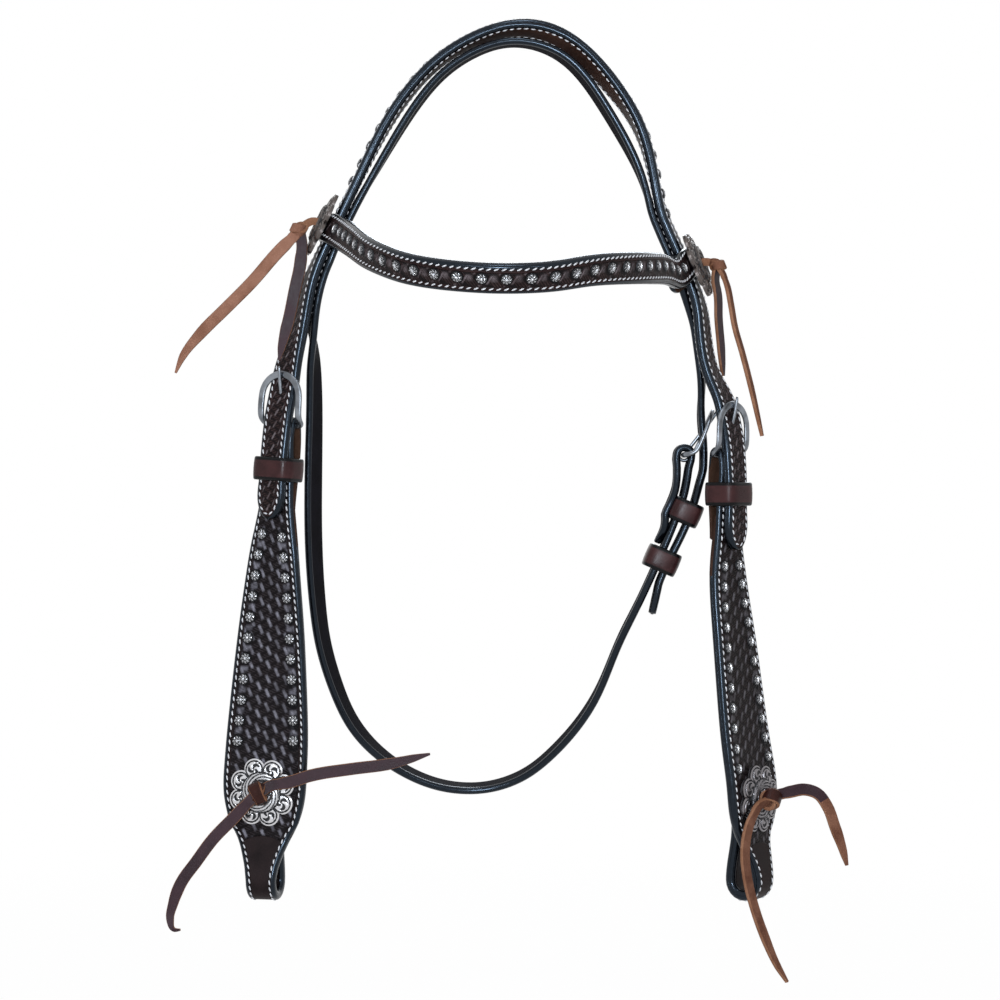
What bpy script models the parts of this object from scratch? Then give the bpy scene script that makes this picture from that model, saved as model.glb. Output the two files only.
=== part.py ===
# Western headstall: a browband headstall hung from its poll, buckled up as it is worn.
# Origin: middle of the poll seat, the underside of the throatlatch strap where it rests on the poll.
# +Z up, -Y forward (towards the horse's nose), +X to the horse's left. Metres.
# Every strap is a ribbon swept along a route. A route is a chain of knots, each with a place, a turn
# (how far the strap's face has turned away from the front) and, where the strap runs straight, a heading.

import math

import bmesh
import bpy
import numpy as np
from mathutils import Matrix, Vector

# Leather sizes
clearance = 0.0003
strap_width = 0.0165
poll_flat_half = 0.0045
poll_flat_ease = 0.002
strap_outer_ply = 0.0025
strap_lining_ply = 0.0022
throat_width = 0.016
throat_thickness = 0.0038
brow_width = 0.016
brow_outer_ply = 0.0024
brow_lining_ply = 0.0019
cheek_outer_ply = 0.0024
cheek_lining_ply = 0.0026
cheek_top_width = 0.017
cheek_full_width = 0.0445
cheek_flare = 0.164
bit_strap_width = 0.016
route_step = 0.0085
fold_step = 0.004
brow_step = 0.0055

# Headstall layout: where each junction lies from the poll
brow_out_left = 0.0936
brow_drop_left = 0.0958
brow_out_right = 0.0891
brow_drop_right = 0.1134
brow_reach = 0.132
brow_seat_half = 0.013
crown_rise = 0.0096
buckle_out_left = 0.1188
buckle_drop_left = 0.1971
buckle_out_right = 0.110
buckle_drop_right = 0.2127
cheek_length_left = 0.2085
cheek_length_right = 0.193
throat_buckle_inset = 0.0205
throat_buckle_lift = 0.0002
throat_buckle_back = 0.012
throat_drop = 0.3917
throat_back = 0.056

# Angles in degrees: lean is the strap's slope from upright, turn is how far its face looks sideways
brow_lean_left = 26
brow_lean_right = 22
brow_turn_left = 82
brow_turn_right = 78
brow_tilt = 33
buckle_lean_left = 4
buckle_lean_right = 0
buckle_turn_left = 33
buckle_turn_right = 50
bit_turn_left = 14
bit_turn_right = 55
crown_lean = 15
throat_lean = 7
throat_lean_lower = 23.5
throat_frame_swing = 14.5
sharp_angle = 35

# Buckle sizes, the same three times
bar_radius = 0.0016
frame_half_span = 0.012
frame_leg_width = 0.004
frame_thickness = 0.0021
frame_setback = 0.0055
frame_leg_height = 0.0143
tongue_radius = 0.00115
tongue_overhang = 0.004
tongue_swing = 3
hole_clearance = 0.00035
bow_count = 10

# Keeper sizes
keeper_height = 0.0104
keeper_ply = 0.0018
keeper_corner = 0.0005
cheek_keeper_drop_left = 0.0232
cheek_keeper_drop_right = 0.0203
throat_keeper_upper_drop = 0.0054
throat_keeper_lower_drop = 0.0333
throat_keeper_slack = 0.0021

# Ends of straps below a buckle's bar
billet_length = 0.0495
throat_billet_drop = 0.0615
chape_length = 0.044
throat_chape_drop = 0.0262
tip_length = 0.013

# Bit loop sizes
loop_drop = 0.0383
loop_front_bulge = 0.0060
loop_back_bulge = 0.0034
loop_tail = 0.026
loop_arc_count = 6

# Concho and tie sizes
concho_radius = 0.018
concho_rise = 0.0042
concho_edge = 0.0012
concho_hole_radius = 0.0031
left_concho_rise = 0.0180
right_concho_rise = 0.0146
right_concho_fall = 0.0030
knot_fall = 0.0068
knot_lift = 0.0016
tie_neck_radius = 0.0024
tie_knot_half_width = 0.0046
tie_knot_half_height = 0.0056
tie_knot_half_depth = 0.0034
string_width = 0.0065
string_thickness = 0.0018

FRONT = Vector((0.0, -1.0, 0.0))


def clear_scene():
    for item in list(bpy.data.objects):
        bpy.data.objects.remove(item, do_unlink=True)


def finish_material(name, colour, roughness, metallic):
    made = bpy.data.materials.get(name) or bpy.data.materials.new(name)
    made.use_nodes = True
    shader = made.node_tree.nodes["Principled BSDF"]
    shader.inputs["Base Color"].default_value = (*colour, 1.0)
    shader.inputs["Roughness"].default_value = roughness
    shader.inputs["Metallic"].default_value = metallic
    return made


def finishes():
    return {
        "tooled": finish_material("tooled leather", (0.045, 0.026, 0.022), 0.45, 0.0),
        "lining": finish_material("strap lining leather", (0.075, 0.035, 0.020), 0.60, 0.0),
        "throat": finish_material("throatlatch leather", (0.025, 0.018, 0.017), 0.40, 0.0),
        "keeper": finish_material("keeper leather", (0.090, 0.030, 0.022), 0.35, 0.0),
        "string": finish_material("latigo string", (0.260, 0.095, 0.045), 0.60, 0.0),
        "steel": finish_material("antiqued steel", (0.300, 0.310, 0.330), 0.32, 1.0),
        "silver": finish_material("antiqued silver", (0.420, 0.410, 0.400), 0.35, 1.0),
    }


def solid(name, bm, material, origin=None):
    # a moving piece gets its origin on its joint's axis
    bmesh.ops.recalc_face_normals(bm, faces=bm.faces)
    mesh = bpy.data.meshes.new(name)
    bm.to_mesh(mesh)
    bm.free()
    made = bpy.data.objects.new(name, mesh)
    if origin is not None:
        mesh.transform(Matrix.Translation(-origin))
        made.location = origin
    bpy.context.scene.collection.objects.link(made)
    mesh.materials.append(material)
    mesh.shade_smooth()
    mesh.set_sharp_from_angle(angle=math.radians(sharp_angle))
    return made


def cut(target, cutter):
    cutter.hide_render = True
    cutter.display_type = "WIRE"
    tool = target.modifiers.new("cut", "BOOLEAN")
    tool.operation = "DIFFERENCE"
    tool.solver = "EXACT"
    tool.object = cutter


# Frames and routes


def turned(heading, turn):
    # width direction (towards the front edge) and face direction of a strap that runs along heading
    front = (FRONT - heading * FRONT.dot(heading)).normalized()
    side = front.cross(heading)
    angle = math.radians(turn)
    width = front * math.sin(angle) - side * math.cos(angle)
    face = front * math.cos(angle) + side * math.sin(angle)
    return width, face


class Seat:
    # a place where a strap runs straight; up is the strap's upward direction there
    def __init__(self, origin, up, heading, turn):
        self.origin = Vector(origin)
        self.up = up
        self.heading = heading
        self.width, self.face = turned(heading, turn)

    def at(self, along=0.0, out=0.0, front=0.0):
        return self.origin + self.up * along + self.face * out + self.width * front

    def swung(self, degrees):
        # the same seat with its up direction swung outwards about its bar
        made = Seat(self.origin, self.up, self.heading, 0)
        angle = math.radians(degrees)
        made.up = self.up * math.cos(angle) + self.face * math.sin(angle)
        made.face = self.face * math.cos(angle) - self.up * math.sin(angle)
        made.width = self.width.copy()
        return made


def leaning(degrees, side):
    # upward direction that leans towards +X by the given angle on the left, towards -X on the right
    angle = math.radians(degrees)
    return Vector((math.sin(angle) * -side, 0.0, math.cos(angle)))


def knot(place, width=None, heading=None, turn=None):
    return {"place": Vector(place), "width": width, "heading": heading, "turn": turn}


def seat_knots(seat, alongs, out, reverse=False):
    rows = [knot(seat.at(a, out), seat.width, seat.heading) for a in alongs]
    return rows[::-1] if reverse else rows


def headings(knots):
    places = [k["place"] for k in knots]
    found = []
    for i, k in enumerate(knots):
        if k["heading"] is not None:
            found.append(k["heading"])
            continue
        before = places[i] - places[i - 1] if i else places[1] - places[0]
        after = places[i + 1] - places[i] if i + 1 < len(places) else before
        mixed = before / before.length_squared + after / after.length_squared
        found.append(mixed.normalized())
    return found


straight_share = 0.99999


def route(knots, step):
    # a smooth chain of places and width directions through the knots; straight spans stay one step
    ways = headings(knots)
    widths = [k["width"] or turned(w, k["turn"])[0] for k, w in zip(knots, ways)]
    places, sides = [], []
    for i in range(len(knots) - 1):
        a, b = knots[i]["place"], knots[i + 1]["place"]
        chord = (b - a).length
        way = (b - a) / chord
        straight = min(way.dot(ways[i]), way.dot(ways[i + 1])) > straight_share
        plain = straight and widths[i].dot(widths[i + 1]) > straight_share
        count = 1 if plain else max(2, math.ceil(chord / step))
        for j in range(count):
            u = j / count
            ease = 3 * u**2 - 2 * u**3
            leave, arrive = u**3 - 2 * u**2 + u, u**3 - u**2
            bend = ways[i] * (chord * leave) + ways[i + 1] * (chord * arrive)
            places.append(a.lerp(b, ease) + bend)
            sides.append(widths[i].lerp(widths[i + 1], u).normalized())
    places.append(knots[-1]["place"].copy())
    sides.append(widths[-1].copy())
    return places, sides


def frames(places, sides, sign=1):
    # width and face directions square to the route at each station
    rows = []
    for i, place in enumerate(places):
        after = places[min(i + 1, len(places) - 1)]
        before = places[max(i - 1, 0)]
        if 0 < i < len(places) - 1:
            way = (after - place).normalized() + (place - before).normalized()
        else:
            way = after - before
        way.normalize()
        width = (sides[i] - way * sides[i].dot(way)).normalized()
        rows.append((width, width.cross(way) * sign))
    return rows


def shifted(places, sides, sign, out):
    return [p + face * out for p, (_, face) in zip(places, frames(places, sides, sign))]


def lengths(places):
    run = [0.0]
    for a, b in zip(places, places[1:]):
        run.append(run[-1] + (b - a).length)
    return run


def ribbon(name, places, sides, widths, thickness, material, sign=1):
    bm = bmesh.new()
    rings = []
    for place, (width, face), wide in zip(places, frames(places, sides, sign), widths):
        half = width * (wide / 2)
        up = face * (thickness / 2)
        corners = (place + half + up, place - half + up, place - half - up, place + half - up)
        rings.append([bm.verts.new(c) for c in corners])
    for a, b in zip(rings, rings[1:]):
        # both broad faces split along the same diagonal, so stacked plies stay parallel where they twist
        bm.faces.new((a[0], a[1], b[1]))
        bm.faces.new((a[0], b[1], b[0]))
        bm.faces.new((a[3], b[2], a[2]))
        bm.faces.new((a[3], b[3], b[2]))
        bm.faces.new((a[1], a[2], b[2], b[1]))
        bm.faces.new((a[3], a[0], b[0], b[3]))
    bm.faces.new(rings[0])
    bm.faces.new(rings[-1][::-1])
    return solid(name, bm, material)


def table(position, rows):
    # straight-line reading of a table of (position, value)
    return float(np.interp(position, [r[0] for r in rows], [r[1] for r in rows]))


# share of the tip's length from its end, and the share of the strap's full width there
tip_shares = ((0.0, 0.34), (0.10, 0.58), (0.25, 0.76), (0.50, 0.91), (1.0, 1.0))


def tip_stops(end, direction=1):
    # places along a straight strap that its rounded tip needs, from its end inwards
    return [end + direction * tip_length * share for share, _ in tip_shares]


def tip_width(from_end, full):
    return full * table(from_end / tip_length, tip_shares)


def tube(name, rings, material, closed=False, origin=None):
    bm = bmesh.new()
    made = [[bm.verts.new(p) for p in ring] for ring in rings]
    count = len(rings[0])
    pairs = list(zip(made, made[1:])) + ([(made[-1], made[0])] if closed else [])
    for a, b in pairs:
        for k in range(count):
            bm.faces.new((a[k], a[(k + 1) % count], b[(k + 1) % count], b[k]))
    if not closed:
        bm.faces.new(made[0])
        bm.faces.new(made[-1][::-1])
    return solid(name, bm, material, origin)


def oval(centre, across, over, half_across, half_over, count=8, square=1.0):
    # a ring of points; square below 1 fills out the corners
    points = []
    for k in range(count):
        angle = 2 * math.pi * (k + 0.5) / count
        c, s = math.cos(angle), math.sin(angle)
        x = math.copysign(abs(c) ** square, c) * half_across
        y = math.copysign(abs(s) ** square, s) * half_over
        points.append(centre + across * x + over * y)
    return points


# Worked-out depths at a cheek buckle, measured outwards from the middle of its bar
fold_inner = bar_radius + clearance
chape_mid = fold_inner + cheek_outer_ply / 2
chape_face = fold_inner + cheek_outer_ply
cheek_lining_mid = fold_inner - clearance - cheek_lining_ply / 2
strap_thickness = strap_outer_ply + clearance + strap_lining_ply
billet_mid = chape_face + clearance + strap_thickness / 2
billet_face = chape_face + clearance + strap_thickness
arch_top = frame_leg_height + frame_half_span
arch_inner_radius = frame_half_span - frame_leg_width / 2
arch_inner_edge = frame_leg_height + math.sqrt(arch_inner_radius**2 - (strap_width / 2) ** 2)
billet_under_arch = frame_setback - frame_thickness / 2 - clearance - strap_thickness / 2
throat_chape_mid = fold_inner + throat_thickness / 2
throat_chape_face = fold_inner + throat_thickness
throat_billet_mid = throat_chape_face + clearance + throat_thickness / 2
throat_billet_face = throat_chape_face + clearance + throat_thickness
throat_under_arch = frame_setback - frame_thickness / 2 - clearance - throat_thickness / 2

# and at a browband seat, measured outwards from the middle of the crown strap
throat_at_brow = -(strap_thickness / 2 + clearance + throat_thickness / 2)
bundle_back = strap_thickness / 2 + clearance + throat_thickness
wrap_out = strap_thickness / 2 + clearance + brow_outer_ply / 2
wrap_in = -(bundle_back + clearance + brow_outer_ply / 2)
wrap_radius = (wrap_out - wrap_in) / 2
wrap_middle = (wrap_out + wrap_in) / 2
wrap_rear = strap_width / 2 + clearance


# The throat buckle hangs just inside the right cheek buckle
throat_buckle_out = buckle_out_right - throat_buckle_inset
throat_buckle_drop = buckle_drop_right - throat_buckle_lift


def make_seats():
    up_left = leaning(brow_lean_left, -1)
    up_right = leaning(brow_lean_right, 1)
    cheek_up_left = leaning(buckle_lean_left, -1)
    cheek_up_right = leaning(buckle_lean_right, 1)
    throat_up = leaning(throat_lean, -1)
    return {
        "brow_left": Seat((-brow_out_left, 0.0, -brow_drop_left), up_left, up_left, brow_turn_left),
        "brow_right": Seat((brow_out_right, 0.0, -brow_drop_right), up_right, -up_right, brow_turn_right),
        "buckle_left": Seat(
            (-buckle_out_left, 0.0, -buckle_drop_left), cheek_up_left, cheek_up_left, buckle_turn_left
        ),
        "buckle_right": Seat(
            (buckle_out_right, 0.0, -buckle_drop_right), cheek_up_right, -cheek_up_right, buckle_turn_right
        ),
        "throat": Seat(
            (throat_buckle_out, throat_buckle_back, -throat_buckle_drop), throat_up, -throat_up, 90
        ),
    }


# Crown strap: shares of the browband seat's distance out and drop, with the turn there, outside to top
crown_left_shares = (
    (0.814, 0.633, 88),
    (0.713, 0.438, 92),
    (0.598, 0.275, 94),
    (0.451, 0.110, 94),
    (0.222, -0.030, 98),
)
crown_right_shares = (
    (0.286, -0.035, 112),
    (0.495, 0.112, 115),
    (0.598, 0.207, 108),
    (0.684, 0.294, 100),
    (0.745, 0.395, 95),
    (0.786, 0.481, 92),
    (0.836, 0.655, 86),
    (0.874, 0.787, 82),
)
crown_top_share = 0.038
# Crown strap between seat and buckle: shares of the way out and down from the seat to the bar, and the turn
lower_left_shares = ((0.527, 0.303, 69), (0.723, 0.528, 60))
lower_right_shares = (
    (0.435, 0.298, 69),
    (0.526, 0.467, 68),
    (0.727, 0.614, 66),
)


def crown_knots(seats):
    left, right = seats["buckle_left"], seats["buckle_right"]
    brow_l, brow_r = seats["brow_left"], seats["brow_right"]
    tip_left = tip_stops(-billet_length)
    rows = seat_knots(left, [*tip_left, 0.0], billet_mid)
    rows += seat_knots(left, [arch_inner_edge, arch_top], billet_under_arch)
    for out, down, turn in lower_left_shares[::-1]:
        x = -brow_out_left - (buckle_out_left - brow_out_left) * out
        z = -brow_drop_left - (buckle_drop_left - brow_drop_left) * down
        rows.append(knot((x, 0.0, z), turn=turn))
    rows += seat_knots(brow_l, [-brow_seat_half, brow_seat_half], 0.0)
    for out, down, turn in crown_left_shares:
        rows.append(knot((-brow_out_left * out, 0.0, -brow_drop_left * down), turn=turn))
    rows.append(knot((brow_out_left * crown_top_share, 0.0, crown_rise), turn=90 + crown_lean))
    for out, down, turn in crown_right_shares:
        rows.append(knot((brow_out_right * out, 0.0, -brow_drop_right * down), turn=turn))
    rows += seat_knots(brow_r, [brow_seat_half, -brow_seat_half], 0.0)
    for out, down, turn in lower_right_shares:
        x = brow_out_right + (buckle_out_right - brow_out_right) * out
        z = -brow_drop_right - (buckle_drop_right - brow_drop_right) * down
        rows.append(knot((x, 0.0, z), turn=turn))
    rows += seat_knots(right, [arch_top, arch_inner_edge], billet_under_arch)
    rows += seat_knots(right, [0.0, *tip_stops(-billet_length)[::-1]], billet_mid)
    return rows


def end_widths(places, full):
    run = lengths(places)
    return [min(tip_width(s, full), tip_width(run[-1] - s, full)) for s in run]


def make_crown(seats, look):
    places, sides = route(crown_knots(seats), route_step)
    widths = end_widths(places, strap_width)
    outer = shifted(places, sides, 1, (strap_thickness - strap_outer_ply) / 2)
    inner = shifted(places, sides, 1, -(strap_thickness - strap_lining_ply) / 2)
    return (
        ribbon("crown_strap_outer", outer, sides, widths, strap_outer_ply, look["tooled"]),
        ribbon("crown_strap_lining", inner, sides, widths, strap_lining_ply, look["lining"]),
    )


# Throatlatch over the poll: shares as for the crown strap
throat_left_shares = (
    (0.777, 0.705, 87),
    (0.702, 0.573, 89),
    (0.604, 0.424, 91),
    (0.517, 0.290, 92),
    (0.419, 0.185, 92),
    (0.338, 0.105, 91),
    (0.256, 0.061, 91),
    (0.151, 0.015, 90),
)
throat_right_shares = (
    (0.138, -0.003, 92),
    (0.227, 0.024, 94),
    (0.304, 0.058, 97),
    (0.379, 0.112, 98),
    (0.443, 0.176, 98),
    (0.508, 0.253, 98),
    (0.597, 0.364, 98),
    (0.676, 0.476, 96),
    (0.742, 0.577, 91),
    (0.785, 0.681, 86),
    (0.818, 0.791, 82.5),
)
# Throatlatch below the left seat and down to the bottom of its loop: shares of the left buckle's distance
# out, of the throat's drop and of its set-back, with the turn
throat_loop_shares = (
    (-0.805, 0.284, 0.01, 79.5),
    (-0.832, 0.301, 0.02, 76),
    (-0.862, 0.326, 0.03, 69),
    (-0.883, 0.355, 0.04, 66),
    (-0.878, 0.385, 0.08, 83),
    (-0.877, 0.416, 0.14, 104),
    (-0.875, 0.473, 0.21, 110),
    (-0.880, 0.559, 0.25, 114),
    (-0.881, 0.654, 0.30, 114),
    (-0.868, 0.735, 0.41, 112),
    (-0.841, 0.800, 0.52, 110),
    (-0.788, 0.856, 0.64, 108),
    (-0.718, 0.905, 0.75, 106),
    (-0.513, 0.967, 0.89, 100),
    (-0.285, 0.995, 0.98, 98),
    (-0.147, 0.997, 1.00, 97),
)
# and from there up to its straight span below the buckle: share of that span's distance out, shares of the
# way from it down to the throat's drop and back to the set-back, with the turn
throat_rise_shares = (
    (0.052, 0.937, 0.947, 97),
    (0.321, 0.802, 0.789, 97),
    (0.595, 0.571, 0.526, 94),
    (0.760, 0.320, 0.275, 91),
    (0.861, 0.188, 0.130, 90),
)
# Throatlatch billet below the right seat: share of the right buckle's distance out, share of the way from
# the seat's drop to the buckle's, share of the throat buckle's set-back, with the turn
throat_billet_shares = (
    (0.837, 0.225, 0.42, 77),
    (0.861, 0.298, 0.62, 79),
    (0.877, 0.436, 0.79, 81),
    (0.896, 0.577, 0.85, 83),
    (0.896, 0.687, 0.92, 86),
)
# The billet through the buckle frame: shares of the arch's height and of the frame's setback
throat_frame_shares = ((0.84, 0.12), (0.54, 0.87), (0.145, 1.73), (-0.14, 2.20), (-0.38, 2.33))
# The billet beside the sewn and sliding keepers: shares of its drop and of its thickness
throat_billet_stops = ((0.0, 1.42), (0.17, 1.62), (0.40, 1.48), (0.62, 1.30), (0.74, 1.38), (1.0, 2.2))
# How far up the chape lies flat, as a share of its drop
throat_chape_share = 0.62
# How far in front of the strap's middle each throat keeper reaches, as shares of the strap's thickness
sewn_keeper_share = 1.66
sliding_keeper_share = 1.5
throat_straight = 0.040
throat_pinch = 0.0143
throat_bend = 0.0236
throat_bend_out = 0.0030
throat_drift = 0.0015


def throat_lower_seat(seat):
    # where the throatlatch hangs straight below its buckle, both keepers on it; out is from its middle
    up = leaning(throat_lean_lower, -1)
    return Seat(seat.at(-throat_bend, throat_bend_out) + Vector((0.0, throat_drift, 0.0)), up, -up, 90)


def arc_knots(seat, radius, count=8):
    # the fold over the bar, from the inner side to the outer
    rows = []
    for k in range(1, count):
        angle = math.pi * (1 - k / count)
        place = seat.at(radius * math.sin(angle), radius * math.cos(angle))
        way = seat.face * math.sin(angle) - seat.up * math.cos(angle)
        rows.append(knot(place, seat.width, way.normalized()))
    return rows


def throat_knots(seats):
    seat = seats["throat"]
    lower = throat_lower_seat(seat)
    brow_l, brow_r = seats["brow_left"], seats["brow_right"]
    closed = throat_thickness + clearance
    parted = -(throat_thickness + clearance * 2 + keeper_ply)
    chape = (throat_chape_drop, throat_chape_drop * throat_chape_share)
    rows = [knot(lower.at(-a, -closed), lower.width, lower.up) for a in chape]
    rows.append(knot(lower.at(-keeper_height - clearance, parted), lower.width))
    rows.append(knot(lower.at(clearance, parted), lower.width))
    rows.append(knot(seat.at(-throat_pinch, -closed / 2), seat.width, seat.up))
    rows.append(knot(seat.at(0.0, -throat_chape_mid), seat.width, seat.up))
    rows += arc_knots(seat, throat_chape_mid)
    rows.append(knot(seat.at(0.0, throat_chape_mid), seat.width, -seat.up))
    rows.append(knot(seat.at(-throat_pinch, closed / 2), seat.width, -seat.up))
    rows += [knot(lower.at(-a), lower.width, -lower.up) for a in (0.0, throat_straight)]
    end = rows[-1]["place"]
    for out, down, back, turn in throat_rise_shares[::-1]:
        y = end.y + (throat_back - end.y) * back
        z = end.z - (throat_drop + end.z) * down
        rows.append(knot((end.x * out, y, z), turn=turn))
    for out, down, back, turn in throat_loop_shares[::-1]:
        rows.append(knot((buckle_out_left * out, throat_back * back, -throat_drop * down), turn=turn))
    rows += seat_knots(brow_l, [-brow_width / 2, brow_seat_half], throat_at_brow)
    for out, down, turn in throat_left_shares:
        rows.append(knot((-brow_out_left * out, 0.0, -brow_drop_left * down), turn=turn))
    flat_end = poll_flat_half + poll_flat_ease
    for along in (-flat_end, -poll_flat_half, poll_flat_half, flat_end):
        rows.append(knot((along, 0.0, throat_thickness / 2), turn=90, heading=Vector((1.0, 0.0, 0.0))))
    for out, down, turn in throat_right_shares:
        rows.append(knot((brow_out_right * out, 0.0, -brow_drop_right * down), turn=turn))
    rows += seat_knots(brow_r, [brow_seat_half, -brow_width / 2], throat_at_brow)
    for out, down, back, turn in throat_billet_shares:
        z = -brow_drop_right - (buckle_drop_right - brow_drop_right) * down
        rows.append(knot((buckle_out_right * out, throat_buckle_back * back, z), turn=turn))
    frame = seat.swung(throat_frame_swing)
    for along, out in throat_frame_shares:
        rows.append(knot(frame.at(arch_top * along, frame_setback * out), seat.width))
    for down, out in throat_billet_stops[:-1]:
        rows.append(knot(lower.at(-throat_billet_drop * down, throat_thickness * out), lower.width))
    last = lower.at(-throat_billet_drop, throat_thickness * throat_billet_stops[-1][1])
    away = (rows[-1]["place"] - last).normalized()
    for share, _ in tip_shares[::-1]:
        rows.append(knot(last + away * (tip_length * share), lower.width, -away))
    return rows


def make_throatlatch(seats, look):
    places, sides = route(throat_knots(seats), route_step)
    widths = end_widths(places, throat_width)
    return ribbon("throatlatch_strap", places, sides, widths, throat_thickness, look["throat"])


# Browband: shares of the browband seats' distance out, of the reach and of the left seat's drop, for the
# middle of its outer face
brow_left_shares = (
    (-0.980, 0.152, 1.019),
    (-0.880, 0.413, 1.101),
    (-0.754, 0.670, 1.204),
    (-0.519, 0.886, 1.303),
    (-0.290, 0.973, 1.342),
)
brow_middle_share = (-0.073, 1.000, 1.356)
brow_right_shares = (
    (0.167, 0.977, 1.138),
    (0.448, 0.848, 1.096),
    (0.697, 0.633, 1.068),
    (0.859, 0.375, 1.049),
    (0.992, 0.114, 1.031),
)
tab_start = 0.0266
tab_end = 0.0400
tab_slant = 0.005
wrap_front = 0.0088
lining_inset = 0.0300


def brow_knots(seats):
    left, right = seats["brow_left"], seats["brow_right"]
    down_left, down_right = -left.up, -right.up
    angle = math.radians(brow_tilt)
    down_middle = Vector((0.0, math.sin(angle), -math.cos(angle)))
    rows = [knot(left.at(0.0, wrap_out, -wrap_rear), down_left, left.width)]
    rows.append(knot(left.at(0.0, wrap_out, wrap_rear), down_left, left.width))
    for out, reach, drop in brow_left_shares:
        side = down_left.lerp(down_middle, reach).normalized()
        rows.append(knot((brow_out_left * out, -brow_reach * reach, -brow_drop_left * drop), side))
    out, reach, drop = brow_middle_share
    rows.append(knot((brow_out_left * out, -brow_reach * reach, -brow_drop_left * drop), down_middle))
    for out, reach, drop in brow_right_shares:
        side = down_right.lerp(down_middle, reach).normalized()
        rows.append(knot((brow_out_right * out, -brow_reach * reach, -brow_drop_right * drop), side))
    rows.append(knot(right.at(0.0, wrap_out, wrap_rear), down_right, -right.width))
    rows.append(knot(right.at(0.0, wrap_out, -wrap_rear), down_right, -right.width))
    return rows


def wrap_turn(seat, count=8):
    # the half turn behind the straps, from the outer pass to the inner pass
    rows = []
    for k in range(1, count):
        angle = math.pi * k / count
        out = wrap_middle + wrap_radius * math.cos(angle)
        behind = -wrap_rear - wrap_radius * math.sin(angle)
        rows.append(seat.at(0.0, out, behind))
    return rows


def tab_points(seat, down, band, band_sides, sign, slant):
    # the inner pass, then the rounded tab that follows the band at a set depth behind it
    run = lengths(band)
    depth = brow_outer_ply + clearance * 2 + brow_lining_ply
    faces = frames(band, band_sides, sign)
    rows = [knot(seat.at(0.0, wrap_in, -wrap_rear), down, seat.width)]
    rows.append(knot(seat.at(0.0, wrap_in - clearance, wrap_front), down, seat.width))
    inner, _ = route(rows, fold_step)
    places, sides = inner, [down] * len(inner)
    stops = [tab_start, *[r for r in run if tab_start < r < tab_end - tip_length]]
    stops += [tab_end - stop for stop in tip_stops(0.0)[::-1]]
    for stop in stops:
        a = max(i for i, r in enumerate(run) if r <= stop)
        u = (stop - run[a]) / (run[a + 1] - run[a])
        face = faces[a][1].lerp(faces[a + 1][1], u).normalized()
        side = band_sides[a].lerp(band_sides[a + 1], u).normalized()
        fallen = slant * (stop - tab_start) / (tab_end - tab_start)
        places.append(band[a].lerp(band[a + 1], u) - face * depth + side * fallen)
        sides.append(side)
    return places, sides


def make_browband(seats, look):
    left, right = seats["brow_left"], seats["brow_right"]
    band, band_sides = route(brow_knots(seats), brow_step)
    tab_l, tab_l_sides = tab_points(left, -left.up, band, band_sides, 1, 0.0)
    tab_r, tab_r_sides = tab_points(right, -right.up, band[::-1], band_sides[::-1], -1, tab_slant)
    turn_l, turn_r = wrap_turn(left), wrap_turn(right)
    places = tab_l[::-1] + turn_l[::-1] + band + turn_r + tab_r
    sides = tab_l_sides[::-1] + [-left.up] * len(turn_l) + band_sides
    sides += [-right.up] * len(turn_r) + tab_r_sides
    widths = end_widths(places, brow_width)
    outer = ribbon("browband_outer", places, sides, widths, brow_outer_ply, look["tooled"])
    run = lengths(band)
    inside = [i for i, s in enumerate(run) if lining_inset < s < run[-1] - lining_inset]
    behind = -(brow_outer_ply / 2 + clearance + brow_lining_ply / 2)
    inner = shifted(band, band_sides, 1, behind)
    kept = [inner[i] for i in inside]
    kept_sides = [band_sides[i] for i in inside]
    lining = ribbon(
        "browband_lining", kept, kept_sides, [brow_width] * len(kept), brow_lining_ply, look["lining"]
    )
    return outer, lining


# Cheekpiece: share of the flare's length below the bar, and share of the way from top to full width
cheek_flare_shares = (
    (0.0, 0.0),
    (0.189, 0.0),
    (0.268, 0.182),
    (0.354, 0.382),
    (0.604, 0.691),
    (0.866, 0.909),
    (1.0, 1.0),
)
# Share of the loop's drop around the junction of the plies, and share of the way from strap to full width
taper_shares = (
    (-0.30, 1.0),
    (-0.05, 0.78),
    (0.11, 0.48),
    (0.27, 0.30),
    (0.43, 0.16),
    (0.59, 0.05),
    (0.75, 0.0),
)
# Cheek route: share of the length below the bar, how far out of the bar's line, and the turn as a share
# of the way from the buckle's turn to the bit's
cheek_left_shares = ((0.57, 0.032, 0.72), (0.79, 0.041, 0.95), (0.92, 0.048, 1.0))
cheek_right_shares = ((0.54, 0.024, 0.60), (0.77, 0.049, 0.90), (0.91, 0.068, 1.0))
cheek_straight = 0.052
lining_start = 0.0058


def cheek_width(below):
    share = table(below / cheek_flare, cheek_flare_shares)
    return cheek_top_width + (cheek_full_width - cheek_top_width) * share


def cheek_layout(side, seats):
    left = side < 0
    seat = seats["buckle_left" if left else "buckle_right"]
    length = cheek_length_left if left else cheek_length_right
    shares = cheek_left_shares if left else cheek_right_shares
    turns = (buckle_turn_left, bit_turn_left) if left else (buckle_turn_right, bit_turn_right)
    return seat, length, shares, turns


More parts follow.
